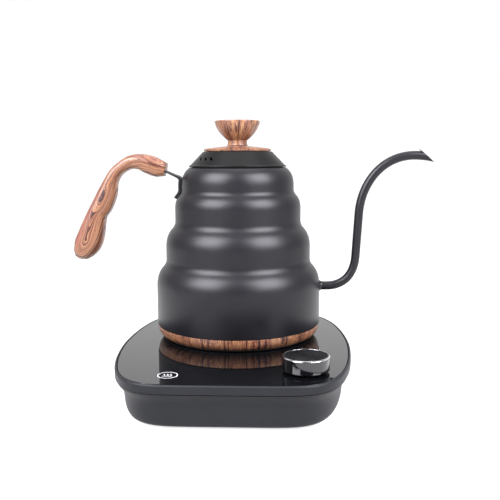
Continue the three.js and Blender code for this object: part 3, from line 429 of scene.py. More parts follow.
def softened(profile, closedLoop, steps=4):
    # rounds each corner that carries a radius; points are (out, height) or (out, height, radius)
    count = len(profile)
    line = []
    for i, (out, height, *radius) in enumerate(profile):
        here = Vector((out, height))
        inside = closedLoop or 0 < i < count - 1
        if not radius or not inside:
            line.append(here)
            continue
        before = Vector(profile[i - 1][:2])
        after = Vector(profile[(i + 1) % count][:2])
        reach = min(radius[0], (before - here).length * 0.49, (after - here).length * 0.49)
        a = here + (before - here).normalized() * reach
        b = here + (after - here).normalized() * reach
        for k in range(steps + 1):
            t = k / steps
            line.append(a * (1 - t) ** 2 + here * 2 * t * (1 - t) + b * t ** 2)
    return line + [line[0]] if closedLoop else line


def turned(name, profile, material, closedLoop=False, sides=144, centre=(0, 0), above=None, sharp=38):
    base = glassTop if above is None else above
    line = softened(profile, closedLoop)
    points = [(p.x * mm, 0, base + p.y * mm) for p in line]
    values = {"Sides": sides, "Half Width": 0.0, "Half Depth": 0.0, "Centre X": centre[0],
        "Centre Y": centre[1],
        "Power X": 2.0, "Power Y": 2.0, "Material": material}
    return grown(name, points, profileRound, values, sharp)


def finished(piece, body, slotName, *nodes):
    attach(piece, body)
    if nodes:
        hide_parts(*nodes)
    return piece


def carve(piece, *cutters):
    for cutter in cutters:
        modifier = piece.modifiers.new("cut", "BOOLEAN")
        modifier.object = cutter
        modifier.operation = "DIFFERENCE"
        modifier.solver = "EXACT"
    mesh = bpy.data.meshes.new_from_object(piece.evaluated_get(bpy.context.evaluated_depsgraph_get()))
    piece.modifiers.clear()
    old = piece.data
    piece.data = mesh
    mesh.name = old.name
    bpy.data.meshes.remove(old)
    for cutter in cutters:
        bpy.data.objects.remove(cutter)
    tidyMesh(piece.data)


def cylinderCutter(radius, low, high, matrix, sides=48):
    turns = [2 * math.pi * i / sides for i in range(sides)]
    points = [matrix @ Vector((radius * math.cos(t), radius * math.sin(t), z)) for z in (low,
        high) for t in turns]
    faces = [(i, (i + 1) % sides, sides + (i + 1) % sides, sides + i) for i in range(sides)]
    faces += [tuple(range(sides))[::-1], tuple(range(sides, 2 * sides))]
    return meshPiece("cutter", points, faces, plainSteel)


def skinned(rows):
    # quads from each ring of points to the next
    count = len(rows[0])
    faces = []
    for a, b in zip(rows, rows[1:]):
        faces += [(a[k], a[(k + 1) % count], b[(k + 1) % count], b[k]) for k in range(count)]
    return faces


def threeRound(radius):
    # three points a third of a turn apart, in metres, the first at 30 degrees
    angles = [math.pi / 6 + i * 2 * math.pi / 3 for i in range(3)]
    return [(radius * mm * math.cos(a), radius * mm * math.sin(a)) for a in angles]


def curved(a, b, c, steps):
    a, b, c = Vector(a), Vector(b), Vector(c)
    places = [k / steps for k in range(steps + 1)]
    return [tuple(a * (1 - t) ** 2 + b * 2 * t * (1 - t) + c * t ** 2) for t in places]


def halfWidth(node):
    low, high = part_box(node)
    return (high.x - low.x) / 2 / mm


def heightAbove(node, end):
    return (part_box(node)[end].z - glassTop) / mm


# camera and light

view = {"turn": 3.73, "pitch": 7.39, "yaw": 0.97, "roll": -0.28, "distance": 0.6193, "rise": 0.1559,
    "lens": 50.57}


def swung(first, second, angle):
    # two axes at right angles, the first turned towards the second
    c, s = math.cos(angle), math.sin(angle)
    return first * c + second * s, second * c - first * s


def makeCamera():
    turn, pitch, yaw, roll = (math.radians(view[k]) for k in ("turn", "pitch", "yaw", "roll"))
    forward = Vector((-math.sin(turn), math.cos(turn), 0))
    right = Vector((math.cos(turn), math.sin(turn), 0))
    up = Vector((0, 0, 1))
    forward, right = swung(forward, right, yaw)
    forward, up = swung(forward, up, -pitch)
    right, up = swung(right, up, roll)
    data = bpy.data.cameras.new("camera")
    data.lens = view["lens"]
    data.sensor_width = 36.0
    data.clip_start = 0.01
    camera = placed("camera", data)
    place = Vector((math.sin(turn), -math.cos(turn), 0)) * view["distance"]
    place.z = glassTop + view["rise"]
    camera.matrix_world = Matrix.Translation(place) @ Matrix((right, up, -forward)).transposed().to_4x4()
    scene.camera = camera


def makeLight(name, place, target, size, power, tint):
    data = bpy.data.lights.new(name, "AREA")
    data.shape = "RECTANGLE"
    data.size, data.size_y = size
    data.energy = power
    data.color = tint
    lamp = placed(name, data)
    lamp.location = place
    lamp.rotation_euler = (Vector(target) - Vector(place)).to_track_quat("-Z", "Y").to_euler()


makeCamera()
makeLight("leftBox", (-0.75, -0.75, 0.85), (0, 0, 0.12), (0.9, 0.9), 54, (0.95, 0.94, 1.0))
makeLight("rightBox", (0.85, -0.7, 0.85), (0, 0, 0.12), (0.9, 0.9), 54, (0.95, 0.94, 1.0))
makeLight("topBox", (0, 0.15, 1.3), (0, 0, 0.1), (1.0, 1.0), 8, (1.0, 1.0, 1.0))

world = bpy.data.worlds.new("paleStudio")
scene.world = world
world.use_nodes = True
sky = world.node_tree
direction = addNode(sky, "ShaderNodeTexCoord")
axes = addNode(sky, "ShaderNodeSeparateXYZ", {0: direction.outputs["Generated"]})
facing = addNode(sky, "ShaderNodeMapRange", {"Value": axes.outputs["Y"], "From Min": -0.4, "From Max": 0.9,
    "To Min": 0.05, "To Max": 0.9})
sky.links.new(facing.outputs["Result"], sky.nodes["Background"].inputs["Strength"])
sky.nodes["Background"].inputs["Color"].default_value = (1, 1, 1, 1)

floorMaterial, floorTree, floorShader = newMaterial("palePaper", Roughness=0.9)
floorPlace = addNode(floorTree, "ShaderNodeTexCoord")
floorGrain = addNode(floorTree, "ShaderNodeTexNoise", {"Vector": floorPlace.outputs["Object"], "Scale": 60.0})
floorShade = addNode(floorTree, "ShaderNodeMix", {0: floorGrain.outputs["Fac"], 6: colour("8c8c8c"),
    7: colour("949494")}, data_type="RGBA")
floorTree.links.new(floorShade.outputs[2], floorShader.inputs["Base Color"])
floorShader.inputs["Emission Color"].default_value = (1, 1, 1, 1)
floorShader.inputs["Emission Strength"].default_value = 0.74


def makeSweep():
    # paper rolled out under the object and up behind it in one soft curve
    line = [(-5, 0), (1.2, 0)]
    line += [(1.2 + 1.2 * math.sin(a),
        1.2 - 1.2 * math.cos(a)) for a in (math.pi / 2 * k / 24 for k in range(1, 25))]
    line.append((2.4, 5))
    points = [(x, y, z) for y, z in line for x in (-6, 6)]
    faces = [(2 * i, 2 * i + 1, 2 * i + 3, 2 * i + 2) for i in range(len(line) - 1)]
    mesh = bpy.data.meshes.new("paperSweep")
    mesh.from_pydata(points, [], faces)
    mesh.materials.append(floorMaterial)
    smoothed(mesh)
    sweep = placed("paperSweep", mesh)


makeSweep()
print("camera, light and floor ready")


# kettle body: stepped bell with convex shoulders and soft creases between the bands

bodyShape = {"steps": (8.5, 8.4, 6.0), "creases": (65.2, 98.7, 127.0), "domeStart": 133.0, "domePull": 11.0,
    "domeEdge": 42.0, "mouth": 40.0, "wall": 1.0, "spoutHeight": 44.0}


def bandRadii():
    radii = [halfWidth("kettle_body")]
    for step in bodyShape["steps"]:
        radii.append(radii[-1] - step)
    return radii


def bodyLine():
    radii = bandRadii()
    top = heightAbove("kettle_body", 1)
    line = [(radii[0] - 0.35, heightAbove("kettle_body", 0)), (radii[0], heightAbove("kettle_body", 0) + 0.5)]
    for lower, upper, crease in zip(radii, radii[1:], bodyShape["creases"]):
        step = lower - upper
        turn = (upper + 0.31 * step, crease - 0.345 * step)
        line += curved((lower, crease - 2.26 * step), (lower, crease - 1.07 * step), turn, 12)
        line += curved(turn, (upper, crease), (upper, crease + 0.45 * step), 8)[1:]
    line += curved((radii[3], bodyShape["domeStart"]), (radii[3],
        bodyShape["domeStart"] + bodyShape["domePull"]),
        (bodyShape["domeEdge"], top), 12)
    return line + [(bodyShape["mouth"] + 0.3, top), (bodyShape["mouth"], top - 0.3)]


def inward(line, distance):
    moved = []
    for i, point in enumerate(line):
        before = Vector(line[max(i - 1, 0)])
        after = Vector(line[min(i + 1, len(line) - 1)])
        along = (after - before).normalized()
        moved.append((point[0] - along.y * distance, point[1] + along.x * distance))
    return moved


def makeBody():
    outer = bodyLine()
    inner = inward(outer[1:-2], bodyShape["wall"])[::-1]
    lip = [(bodyShape["mouth"], outer[-1][1] - 0.7)]
    body = turned("bandedBody", outer + lip + inner + [(inner[-1][0], outer[0][1])], satinCoat,
        closedLoop=True,
        sides=192)
    side = Matrix.Translation((0, 0,
        glassTop + bodyShape["spoutHeight"] * mm)) @ Matrix.Rotation(math.pi / 2, 4, "Y")
    carve(body, cylinderCutter(3.0 * mm, 60 * mm, 80 * mm, side))
    return finished(body, "kettle", "satin_black", "kettle_body")


makeBody()
print("body ready")


# spout: swept round tube with a flared weld at its root and a slanted lip

spoutShape = {"radius": 3.75, "bore": 2.7, "height": 44.0, "lipX": 92.3, "lipHeight": 157.3, "lipSlope": 0.85,
    "sides": 40, "flare": 1.3, "flareLength": 2.6}


def bezier(points, steps):
    a, b, c, d = (Vector(p) for p in points)
    return [a * (1 - t) ** 3 + b * 3 * t * (1 - t) ** 2 + c * 3 * t * t * (1 - t) + d * t ** 3
        for t in (k / steps for k in range(steps + 1))]


def spoutSpine():
    start = halfWidth("kettle_body")
    low = spoutShape["height"]
    at = lambda out, height: (start + out, height)
    spine = [Vector(at(-0.7 + 0.35 * k, low)) for k in range(20)]
    spine += bezier([at(6, low), at(20, low), at(30.8, 52), at(31.7, 72)], 40)[1:]
    spine += [Vector(at(31.7 + 2.3 * k / 12, 72 + 36 * k / 12)) for k in range(1, 13)]
    spine += bezier([at(34, 108), at(35.6, 133), at(52, 157.5), at(80, 158.3)], 44)[1:]
    spine += [Vector(p) for p in curved(at(80, 158.3), at(91, 158.5), at(103, 155), 14)][1:]
    return spine


def makeSpout():
    s = spoutShape
    spine = spoutSpine()
    start = halfWidth("kettle_body")
    lip = Vector((start + s["lipX"], s["lipHeight"]))
    away = Vector((math.cos(s["lipSlope"]), math.sin(s["lipSlope"])))
    kept = [p for p in spine if (p - lip).dot(away) < s["radius"] * 2.4]
    points, rows = [], []

    def addRow(centre, tangent, radius):
        across = Vector((-tangent.y, tangent.x))
        row = []
        for k in range(s["sides"]):
            t = 2 * math.pi * k / s["sides"]
            flat = centre + across * radius * math.sin(t)
            over = (flat - lip).dot(away) / tangent.dot(away)
            if over > 0:
                flat -= tangent * over
            row.append(len(points))
            points.append((flat.x * mm, radius * math.cos(t) * mm, glassTop + flat.y * mm))
        rows.append(row)

    def lay(radius, order):
        for i in order:
            tangent = (kept[min(i + 1, len(kept) - 1)] - kept[max(i - 1, 0)]).normalized()
            root = max(0.0, 1 - (kept[i].x - start) / s["flareLength"])
            addRow(kept[i], tangent, radius + (s["flare"] * root ** 2 if radius > s["bore"] else 0))

    last = len(kept) - 1
    lay(s["radius"], range(len(kept)))
    end = (kept[last] - kept[last - 1]).normalized()
    addRow(kept[last], end, s["radius"] - 0.25)
    addRow(kept[last], end, s["bore"] + 0.25)
    lay(s["bore"], range(last, -1, -1))
    faces = skinned(rows + rows[:1])
    return finished(meshPiece("gooseneckSpout", points, faces, satinCoat, 50), "kettle", "satin_black",
        "spout")


makeSpout()
print("spout ready")


# handle: bent steel strap and a carved grip

gripShape = {"power": 2.7, "sides": 56, "steps": 10, "stations": [
    (-13.9, 146.9, 5.7, 8.2), (-21.2, 148.4, 8.0, 9.3), (-28.2, 151.1, 8.3, 9.6), (-36.2, 153.7, 7.1, 9.3),
    (-44.3, 153.5, 6.1, 9.0), (-51.9, 149.9, 5.4, 9.0), (-58.4, 144.3, 5.4, 9.2), (-62.8, 136.8, 6.1, 9.6),
    (-66.4, 126.5, 8.4, 10.0), (-71.1, 116.3, 9.0, 10.2), (-75.6, 109.2, 8.5, 10.3),
    (-78.4, 101.7, 9.5, 10.5),
    (-80.6, 94.6, 10.8, 10.7), (-83.0, 87.0, 11.7, 10.7), (-86.0, 81.0, 11.6, 10.5), (-89.4, 76.0, 10.0, 9.6),
    (-92.8, 72.3, 7.2, 7.4), (-95.3, 69.6, 2.9, 3.4)]}


def smoothRow(rows, place):
    # Catmull-Rom through rows of numbers
    i = min(int(place), len(rows) - 2)
    t = place - i
    p = [Vector(rows[min(max(i + k, 0), len(rows) - 1)]) for k in (-1, 0, 1, 2)]
    return 0.5 * (2 * p[1] + (p[2] - p[0]) * t + (2 * p[0] - 5 * p[1] + 4 * p[2] - p[3]) * t * t
        + (3 * p[1] - p[0] - 3 * p[2] + p[3]) * t ** 3)


def makeGrip():
    g = gripShape
    outward = bandRadii()[3]
    total = (len(g["stations"]) - 1) * g["steps"]
    path = [smoothRow(g["stations"], k / g["steps"]) for k in range(total + 1)]
    points, grain, rows = [], [], []
    length = 0.0

    def addRow(centre, tangent, depth, width, length):
        across = Vector((-tangent.y, tangent.x))
        row = []
        for k in range(g["sides"]):
            t = 2 * math.pi * k / g["sides"]
            c, s = math.cos(t), math.sin(t)
            a = math.copysign(abs(c) ** (2 / g["power"]), c) * depth
            b = math.copysign(abs(s) ** (2 / g["power"]), s) * width
            flat = centre + across * a
            row.append(len(points))
            points.append(((flat.x - outward) * mm, b * mm, glassTop + flat.y * mm))
            grain.append((a, b, length))
        rows.append(row)

    for k, station in enumerate(path):
        centre = Vector(station[:2])
        before = Vector(path[max(k - 1, 0)][:2])
        after = Vector(path[min(k + 1, total)][:2])
        tangent = (after - before).normalized()
        length += (centre - before).length
        if k == 0:
            for shrink, back in ((0.72, 0.0), (0.86, 0.12), (0.95, 0.45)):
                addRow(centre + tangent * back, tangent, station[2] * shrink, station[3] * shrink, length)
            addRow(centre + tangent * 1.0, tangent, station[2] * 1.01, station[3] * 1.01, length)
            continue
        addRow(centre, tangent, station[2], station[3], length)
    faces = skinned(rows)
    faces += [tuple(rows[0])[::-1], tuple(rows[-1])]
    mesh = bpy.data.meshes.new("carvedGrip")
    mesh.from_pydata(points, [], faces)
    mesh.materials.append(gripHardwood)
    layer = mesh.attributes.new("grain", "FLOAT_VECTOR", "POINT")
    for i, value in enumerate(grain):
        layer.data[i].vector = value
    smoothed(mesh)
    work = bmesh.new()
    work.from_mesh(mesh)
    bmesh.ops.recalc_face_normals(work, faces=work.faces)
    work.to_mesh(mesh)
    work.free()
    mesh.set_sharp_from_angle(angle=math.radians(50))
    return finished(placed("carvedGrip", mesh), "kettle", "wood_print", "handle_grip", "grip_screw")


strapShape = {"thickness": 1.5, "footThickness": 2.7, "width": 14.0, "leave": (-14.9, 145.8),
    "tilt": math.atan2(-6.4, 13.8),
    "heights": (139.4, 138.2, 137, 135, 133, 131, 129, 127.6, 126.4, 125.2, 124, 123, 122),
    "columns": 12, "edge": 0.3, "gap": 0.4}


def radiusAt(height):
    line = bodyLine()
    for (r0, z0), (r1, z1) in zip(line, line[1:]):
        if z0 <= height <= z1 and z1 > z0:
            return r0 + (r1 - r0) * (height - z0) / (z1 - z0)
    return line[-1][0]


def makeStrap():
    s = strapShape
    top = bandRadii()[3]
    leave = Vector((s["leave"][0] - top, s["leave"][1]))
    along = Vector((math.cos(s["tilt"]), math.sin(s["tilt"])))
    clear = s["footThickness"] / 2 + s["gap"]
    foot = [Vector((-(radiusAt(h) + clear), h)) for h in s["heights"]]
    run = [leave - along * d for d in (12, 6, 0, -5, -9)]
    corner = curved(run[-1], (foot[0].x - 0.4, foot[0].y + 0.6), foot[1], 6)
    line = run[:-1] + [Vector(p) for p in corner] + foot[2:]
    bend = len(run)
    columns = s["columns"]
    points, rows = [], []
    for i, centre in enumerate(line):
        tangent = (line[min(i + 1, len(line) - 1)] - line[max(i - 1, 0)]).normalized()
        normal = Vector((-tangent.y, tangent.x))
        wrap = min(1.0, max(0.0, (i - bend) / 4))
        swell = min(1.0, max(0.0, (i - bend + 2) / 5))
        loop = []
        for side in (1, -1):
            for k in range(columns + 1):
                y = (k / columns - 0.5) * s["width"] * side
                radius = -centre.x
                sag = (radius - math.sqrt(max(radius * radius - y * y, 0))) * wrap
                edge = s["edge"] if k in (0, columns) else 0.0
                thick = s["thickness"] + (s["footThickness"] - s["thickness"]) * swell
                flat = centre + normal * side * (thick / 2 - edge)
                loop.append(len(points))
                points.append(((flat.x + sag) * mm, y * mm, glassTop + flat.y * mm))
        rows.append(loop)
    faces = skinned(rows)
    faces += [tuple(rows[0])[::-1], tuple(rows[-1])]
    return finished(meshPiece("bentStrap", points, faces, satinCoat), "kettle", "satin_black", "handle_strap")


makeGrip()
makeStrap()
print("handle ready")


# foot ring and what is under the kettle

def makeFootRing():
    outer = halfWidth("base_ring")
    low, high = heightAbove("base_ring", 0), heightAbove("kettle_body", 0) - 0.7
    foot = outer - 4.9
    side = curved((foot, low), (outer, low + 3), (outer, high), 12)
    profile = [(foot - 3.9, low)] + [(foot - 0.5, low)] + side[1:-1] + [(outer, high - 0.4),
        (outer - 0.4, high),
        (outer - 0.9, high), (outer - 0.9, high + 2.4), (outer - 4, high + 2.6), (foot - 3.9, high)]
    return finished(turned("woodFootRing", profile, ringWood, closedLoop=True, sides=240), "kettle",
        "wood_print",
        "base_ring")


undersideShape = {"lip": 2.4, "hole": 21.3, "screwHole": 1.9, "screwCircle": 34, "probeHole": 3.1,
    "probeY": 32,
    "plateHeight": 24}


def makeUnderside():
    u = undersideShape
    cover = halfWidth("kettle_bottom_cover")
    inner = cover - u["lip"]
    hole = u["hole"]
    plate = turned("undersideCover", [
        (hole, 1.7, 0.3), (inner - 5.2, 1.7, 0.5), (inner - 4, 0.3, 0.4), (inner - 1, 0.3, 0.4),
        (inner, 0.9, 0.3),
        (cover, 0.9, 0.25), (cover, 1.7, 0.25), (inner, 1.7), (inner, 10), (inner - 1.6, 10),
        (inner - 1.6, 3.3),
        (hole, 3.3, 0.3)], underPlastic, closedLoop=True)
    screwHoles = [cylinderCutter(u["screwHole"] * mm, 0, 6 * mm, Matrix.Translation((x, y, glassTop)))
        for x, y in threeRound(u["screwCircle"])]
    carve(plate, *screwHoles)
    finished(plate, "kettle", "under_plastic", "kettle_bottom_cover")
    socket = turned("couplingSocket", [
        (0, 16), (8, 16, 0.5), (8, 5.5, 0.6), (10.2, 5.5, 0.2), (10.2, 7.5), (11.6, 7.5), (11.6, 5.5, 0.2),
        (14, 5.5, 0.2),
        (14, 7.5), (15.4, 7.5), (15.4, 5.5, 0.2), (19.3, 5.5, 0.5), (19.3, 1.7, 0.4), (20.7, 1.7, 0.4),
        (20.7, 19.7),
        (25.7, 19.7, 0.4), (25.7, 23.7, 0.4), (0, 23.7)], couplingPlastic)
    finished(socket, "kettle", "part_black", "kettle_connector")
    rim = halfWidth("vessel_floor")
    floorPlate = turned("heaterPlate", [
        (0, u["plateHeight"]), (rim - 3, u["plateHeight"], 1.5), (rim - 1.5, 22.5, 0.8), (rim - 1.5, 16),
        (rim, 16), (rim, 25.5, 0.4),
        (rim - 2.5, 25.5, 0.6), (rim - 4, 24.9, 0.6), (rim - 8, 25.5, 0.8), (0, 25.5)], spunSteel)
    probeHole = cylinderCutter(u["probeHole"] * mm, -6 * mm, 6 * mm, Matrix.Translation(
        (0, u["probeY"] * mm, glassTop + (u["plateHeight"] + 1) * mm)))
    carve(floorPlate, probeHole)
    finished(floorPlate, "kettle", "plain_steel")


makeFootRing()
makeUnderside()
print("underside ready")


# lid: spun cone with three steam slots, a steel cup, its seal, and a wood disc and knob

lidShape = {"bore": 2.4, "topRadius": 30.2, "slotTurns": (34, 45.5, 56), "slotLean": 0.85, "slotHalf": 1.9,
    "slotRadius": 0.8, "slotDepth": 4, "cupRadius": 36.3, "holeRadius": 2.4, "holeCircle": 22,
    "sealInner": 37.45}


def makeLid():
    g = lidShape
    flange = halfWidth("lid_shell")
    bottom, top = heightAbove("lid_shell", 0), heightAbove("lid_shell", 1)
    shell = turned("lidShell", [
        (g["bore"], top), (g["topRadius"], top, 0.5), (flange - 1.3, bottom + 1.75, 0.35),
        (flange, bottom + 1.35, 0.3),
        (flange, bottom, 0.3), (40.4, bottom, 0.2), (40.3, bottom + 0.9), (g["topRadius"] - 0.5, top - 1.2),
        (g["bore"], top - 1.2)], lidCoat, closedLoop=True, sides=192)
    height = (bottom + 1.3 + top) / 2
    cutters = []
    for degrees in g["slotTurns"]:
        place = (Matrix.Translation((0, 0, glassTop)) @ Matrix.Rotation(math.pi + math.radians(degrees), 4,
            "Z")
            @ Matrix.Translation(((flange + 30.3) / 2 * mm, 0, height * mm)) @ Matrix.Rotation(-math.pi / 4,
            4, "Y")
            @ Matrix.Rotation(g["slotLean"], 4, "X"))
        outline = []
        for end in (1, -1):
            for k in range(7):
                t = math.pi * k / 6
                outline.append((g["slotRadius"] * math.cos(t) * end,
                    (g["slotHalf"] + g["slotRadius"] * math.sin(t)) * end))
        count = len(outline)
        points = [place @ Vector((x * mm, y * mm, z * mm)) for x in (-g["slotDepth"], g["slotDepth"])
            for y, z in outline]
        faces = [(i, (i + 1) % count, count + (i + 1) % count, count + i) for i in range(count)]
        faces += [tuple(range(count))[::-1], tuple(range(count, 2 * count))]
        cutters.append(meshPiece("slotCutter", points, faces, lidCoat))
    carve(shell, *cutters)
    finished(shell, "lid", "lid_black", "lid_shell")

    cupTop, cupBottom = heightAbove("lid_inner_cup", 1), heightAbove("lid_inner_cup", 0)
    cup = turned("lidCup", [
        (0, cupBottom), (g["cupRadius"], cupBottom, 1.5), (g["cupRadius"] + 1, cupTop - 1),
        (g["cupRadius"] + 3, cupTop - 1, 0.3), (g["cupRadius"] + 3, cupTop, 0.3),
        (g["cupRadius"], cupTop, 0.4),
        (g["cupRadius"], cupBottom + 1, 0.8), (0, cupBottom + 1)], spunSteel)
    holes = [cylinderCutter(g["holeRadius"] * mm, -2 * mm, 3 * mm, Matrix.Translation(
        (x, y, glassTop + cupBottom * mm)), 24) for x, y in threeRound(g["holeCircle"])]
    carve(cup, *holes)
    finished(cup, "lid", "plain_steel", "lid_inner_cup")
    sealTop, sealBottom = heightAbove("lid_seal", 1), heightAbove("lid_seal", 0)
    outer = halfWidth("lid_seal")
    seal = turned("lidSeal", [
        (g["sealInner"], sealBottom), (38.9, sealBottom, 0.4), (38.5, sealBottom + 1, 0.3),
        (outer, sealBottom + 1.7, 0.3),
        (38.7, sealBottom + 2.3, 0.3), (outer, sealBottom + 3.1, 0.3), (38.8, sealTop, 0.3),
        (g["sealInner"], sealTop)],
        sealSilicone, closedLoop=True)
    finished(seal, "lid", "silicone", "lid_seal")

    discBottom, discTop = heightAbove("lid_disc", 0), heightAbove("lid_disc", 1)
    rim = halfWidth("lid_disc")
    crown = curved((rim - 0.9, discBottom + 2.2), (20, discTop - 0.9), (9.4, discTop), 10)
    disc = turned("woodLidDisc", [(g["bore"], discBottom), (rim - 0.3, discBottom, 0.2),
        (rim, discBottom + 0.4),
        (rim, discBottom + 1.6)] + crown + [(g["bore"], discTop)], discWood, closedLoop=True, sides=160)
    finished(disc, "lid", "wood_print", "lid_disc")

    foot, knobTop = heightAbove("lid_knob", 0), heightAbove("lid_knob", 1)
    edge = halfWidth("lid_knob")
    bowl = curved((8.6, foot + 4.7), (edge - 1.8, foot + 11.8), (edge, knobTop - 1.3), 16)
    knob = turned("woodLidKnob", [(0, foot + 12), (2.3, foot + 12), (2.3, foot), (8.9, foot, 0.3),
        (8.8, foot + 1.0, 0.3),
        (8.35, foot + 1.5, 0.3), (8.35, foot + 4.5)] + bowl +
        [(edge - 0.1, knobTop - 0.8), (edge - 0.6, knobTop - 0.45), (edge - 3, knobTop - 0.15), (0, knobTop)],
        knobWood, sides=160)
    finished(knob, "lid", "wood_print", "lid_knob")


makeLid()
print("lid ready")


# dial: gloss side, bright chamfer and a spun disc on top

dialShape = {"shaftHole": 3.3, "hub": 5.3, "wall": 2.6, "seatDrop": 1.3, "capGap": 1.6}


def makeDial():
    d = dialShape
    edge = halfWidth("knob_body")
    low = heightAbove("knob_body", 0)
    top = heightAbove("knob_trim_ring", 1)
    seat = top - d["seatDrop"]
    centre = (dialCentre.x, dialCentre.y)
    body = turned("dialBody", [
        (0, top - 3.3), (d["shaftHole"], top - 3.3), (d["shaftHole"], 3.7), (d["hub"], 3.7, 0.3),
        (d["hub"], seat - 4),
        (edge - d["wall"], seat - 4), (edge - d["wall"], low), (edge - 0.6, low, 0.3),
        (edge, low + 0.6, 0.4), (edge, seat), (0, seat)], dialGloss,
        centre=centre, sides=120)
    finished(body, "dial", "dial_black", "knob_body")
    trim = turned("dialBrightEdge", [
        (edge - 1.3, seat + 0.3), (edge, seat + 0.3, 0.1), (edge, top - 0.75, 0.15), (edge - 0.75, top, 0.15),
        (edge - 1.3, top, 0.1)], brightEdge, closedLoop=True, centre=centre, sides=120)
    finished(trim, "dial", "bright_metal", "knob_trim_ring")
    cap = turned("dialSpunCap", [
        (0, seat + 0.3), (edge - d["capGap"], seat + 0.3), (edge - d["capGap"], top - 0.3, 0.2),
        (edge - 2.2, top - 0.2, 0.1),
        (edge - 2.6, top - 0.35), (0, top - 0.35)], spunCap, centre=centre, sides=120)
    finished(cap, "dial", "spun_metal", "knob_cap")


makeDial()
print("dial ready")


# power base

planShape = {"rim": 2.0, "centreY": -31.5, "powerX": 6.4, "powerY": 1.78, "sides": 360}
baseShape = {"couplingHole": 19.3, "dialHole": 4.1, "wall": 2.2, "plateInset": 13, "plateTop": 4.0,
    "footHole": 7.3,
    "screwHole": 3.6}


feet = ["foot_1", "foot_2", "foot_3", "foot_4"]
baseScrews = ["housing_screw_1", "housing_screw_2", "housing_screw_3", "housing_screw_4"]


def planned(name, profile, material, closedLoop, sharp=38):
    # profile points are (inset from the edge of the glass, height above the table)
    low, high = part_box("glass_panel")
    line = softened(profile, closedLoop)
    points = [(-p.x * mm, 0, p.y * mm) for p in line]
    values = {"Sides": planShape["sides"], "Half Width": (high.x - low.x) / 2,
        "Half Depth": (high.y - low.y) / 2,
        "Centre X": 0.0, "Centre Y": planShape["centreY"] * mm, "Power X": planShape["powerX"],
        "Power Y": planShape["powerY"], "Material": material}
    return grown(name, points, profileRound, values, sharp)


def capped(piece):
    # closes the two open ends of a plate that was swept without its middle
    work = bmesh.new()
    work.from_mesh(piece.data)
    bmesh.ops.holes_fill(work, edges=[e for e in work.edges if e.is_boundary], sides=0)
    work.to_mesh(piece.data)
    work.free()
    tidyMesh(piece.data)


def makeBase():
    b = baseShape
    top = glassTop / mm
    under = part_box("glass_panel")[0].z / mm
    glass = planned("blackGlassTop", [(0.5, under), (0, under + 0.5, 0.3), (0, top - 0.45, 0.3), (0.45, top)],
        blackGlass, False)
    capped(glass)
    coupling = cylinderCutter(b["couplingHole"] * mm, 0, 60 * mm, Matrix.Identity(4), 96)
    bush = cylinderCutter(b["dialHole"] * mm, 0, 60 * mm, Matrix.Translation((dialCentre.x, dialCentre.y,
        0)), 32)
    carve(glass, coupling, bush)
    finished(glass, "base", "black_glass", "glass_panel")

    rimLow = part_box("top_frame")[0].z / mm
    rim = planned("glassRim", [
        (-planShape["rim"], rimLow, 0.3), (-planShape["rim"], top - 0.9, 0.5),
        (-planShape["rim"] + 0.7, top, 0.4),
        (-0.35, top, 0.25), (-0.35, under - 0.3), (6, under - 0.3), (6, rimLow, 0.3)], basePlastic, True)
    finished(rim, "base", "base_plastic", "top_frame")

    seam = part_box("lower_housing")[1].z / mm
    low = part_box("lower_housing")[0].z / mm
    outside = [(12.1, low), (8.9, low + 0.2), (7.3, low + 0.9), (6.2, low + 2.4), (5.4, low + 4.9),
        (4.9, low + 8.5),
        (4.5, low + 13), (3.8, low + 16.8), (2.6, low + 20.1), (0.9, low + 22.9), (-0.6, low + 24.9),
        (-1.6, seam)]
    dense = [tuple(smoothRow(outside, k / 4)) for k in range((len(outside) - 1) * 4 + 1)]
    inside = [(x + b["wall"], min(z + 0.3, seam)) for x, z in dense[::6]][::-1]
    inside[-1] = (12.3, low + 2.0)
    shell = planned("lowerShell", dense + inside, basePlastic, True)
    finished(shell, "base", "base_plastic", "lower_housing")

    inset = b["plateInset"]
    plate = planned("undersidePlate", [(inset, b["plateTop"]), (inset, low + 0.4, 0.3), (inset + 0.4, low)],
        underPlastic, False)
    capped(plate)
    cutters = []
    for nodes, radius, depth, sides in ((feet, b["footHole"], 2.7, 48),
            (baseScrews, b["screwHole"], 3.1, 32)):
        for node in nodes:
            near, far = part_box(node)
            spot = Matrix.Translation(((near.x + far.x) / 2, (near.y + far.y) / 2, 0))
            cutters.append(cylinderCutter(radius * mm, -1 * mm, depth * mm, spot, sides))
    carve(plate, *cutters)
    finished(plate, "base", "under_plastic", "bottom_plate")


def repeated(name, nodes, item, material):
    # one copy of the item at each of these nodes' centres, standing at their lowest point
    spots = []
    for node in nodes:
        a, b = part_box(node)
        spots.append(((a.x + b.x) / 2, (a.y + b.y) / 2, a.z))
    piece = grown(name, spots, itemOnPoints, {"Item": item, "Scale": 1.0, "Material": material})
    bpy.data.objects.remove(item)
    return piece


def crossHead(name, head, headHeight, shank, length):
    # pan-head screw, head down, with a cross recess
    body = turned(name, [(0, 0), (head * 0.55, 0), (head * 0.9, headHeight * 0.35, 0.3),
        (head, headHeight * 0.8, 0.2),
        (head, headHeight), (shank, headHeight, 0.1), (shank, length - 0.6, 0.2), (shank * 0.5, length),
        (0, length)], plainSteel, sides=32, above=0.0)
    arms = []
    for turn in (0, math.pi / 2):
        spin = Matrix.Rotation(turn, 4, "Z")
        corners = [(x * head * 0.6 * mm, y * head * 0.12 * mm, z) for z in (-0.5 * mm, 0.75 * mm)
            for x, y in ((-1, -1), (1, -1), (1, 1), (-1, 1))]
        points = [spin @ Vector(c) for c in corners]
        arms.append(meshPiece("arm", points, [(3, 2, 1, 0), (4, 5, 6, 7), (0, 1, 5, 4), (1, 2, 6, 5),
            (2, 3, 7, 6),
            (3, 0, 4, 7)], plainSteel))
    carve(body, *arms)
    return body


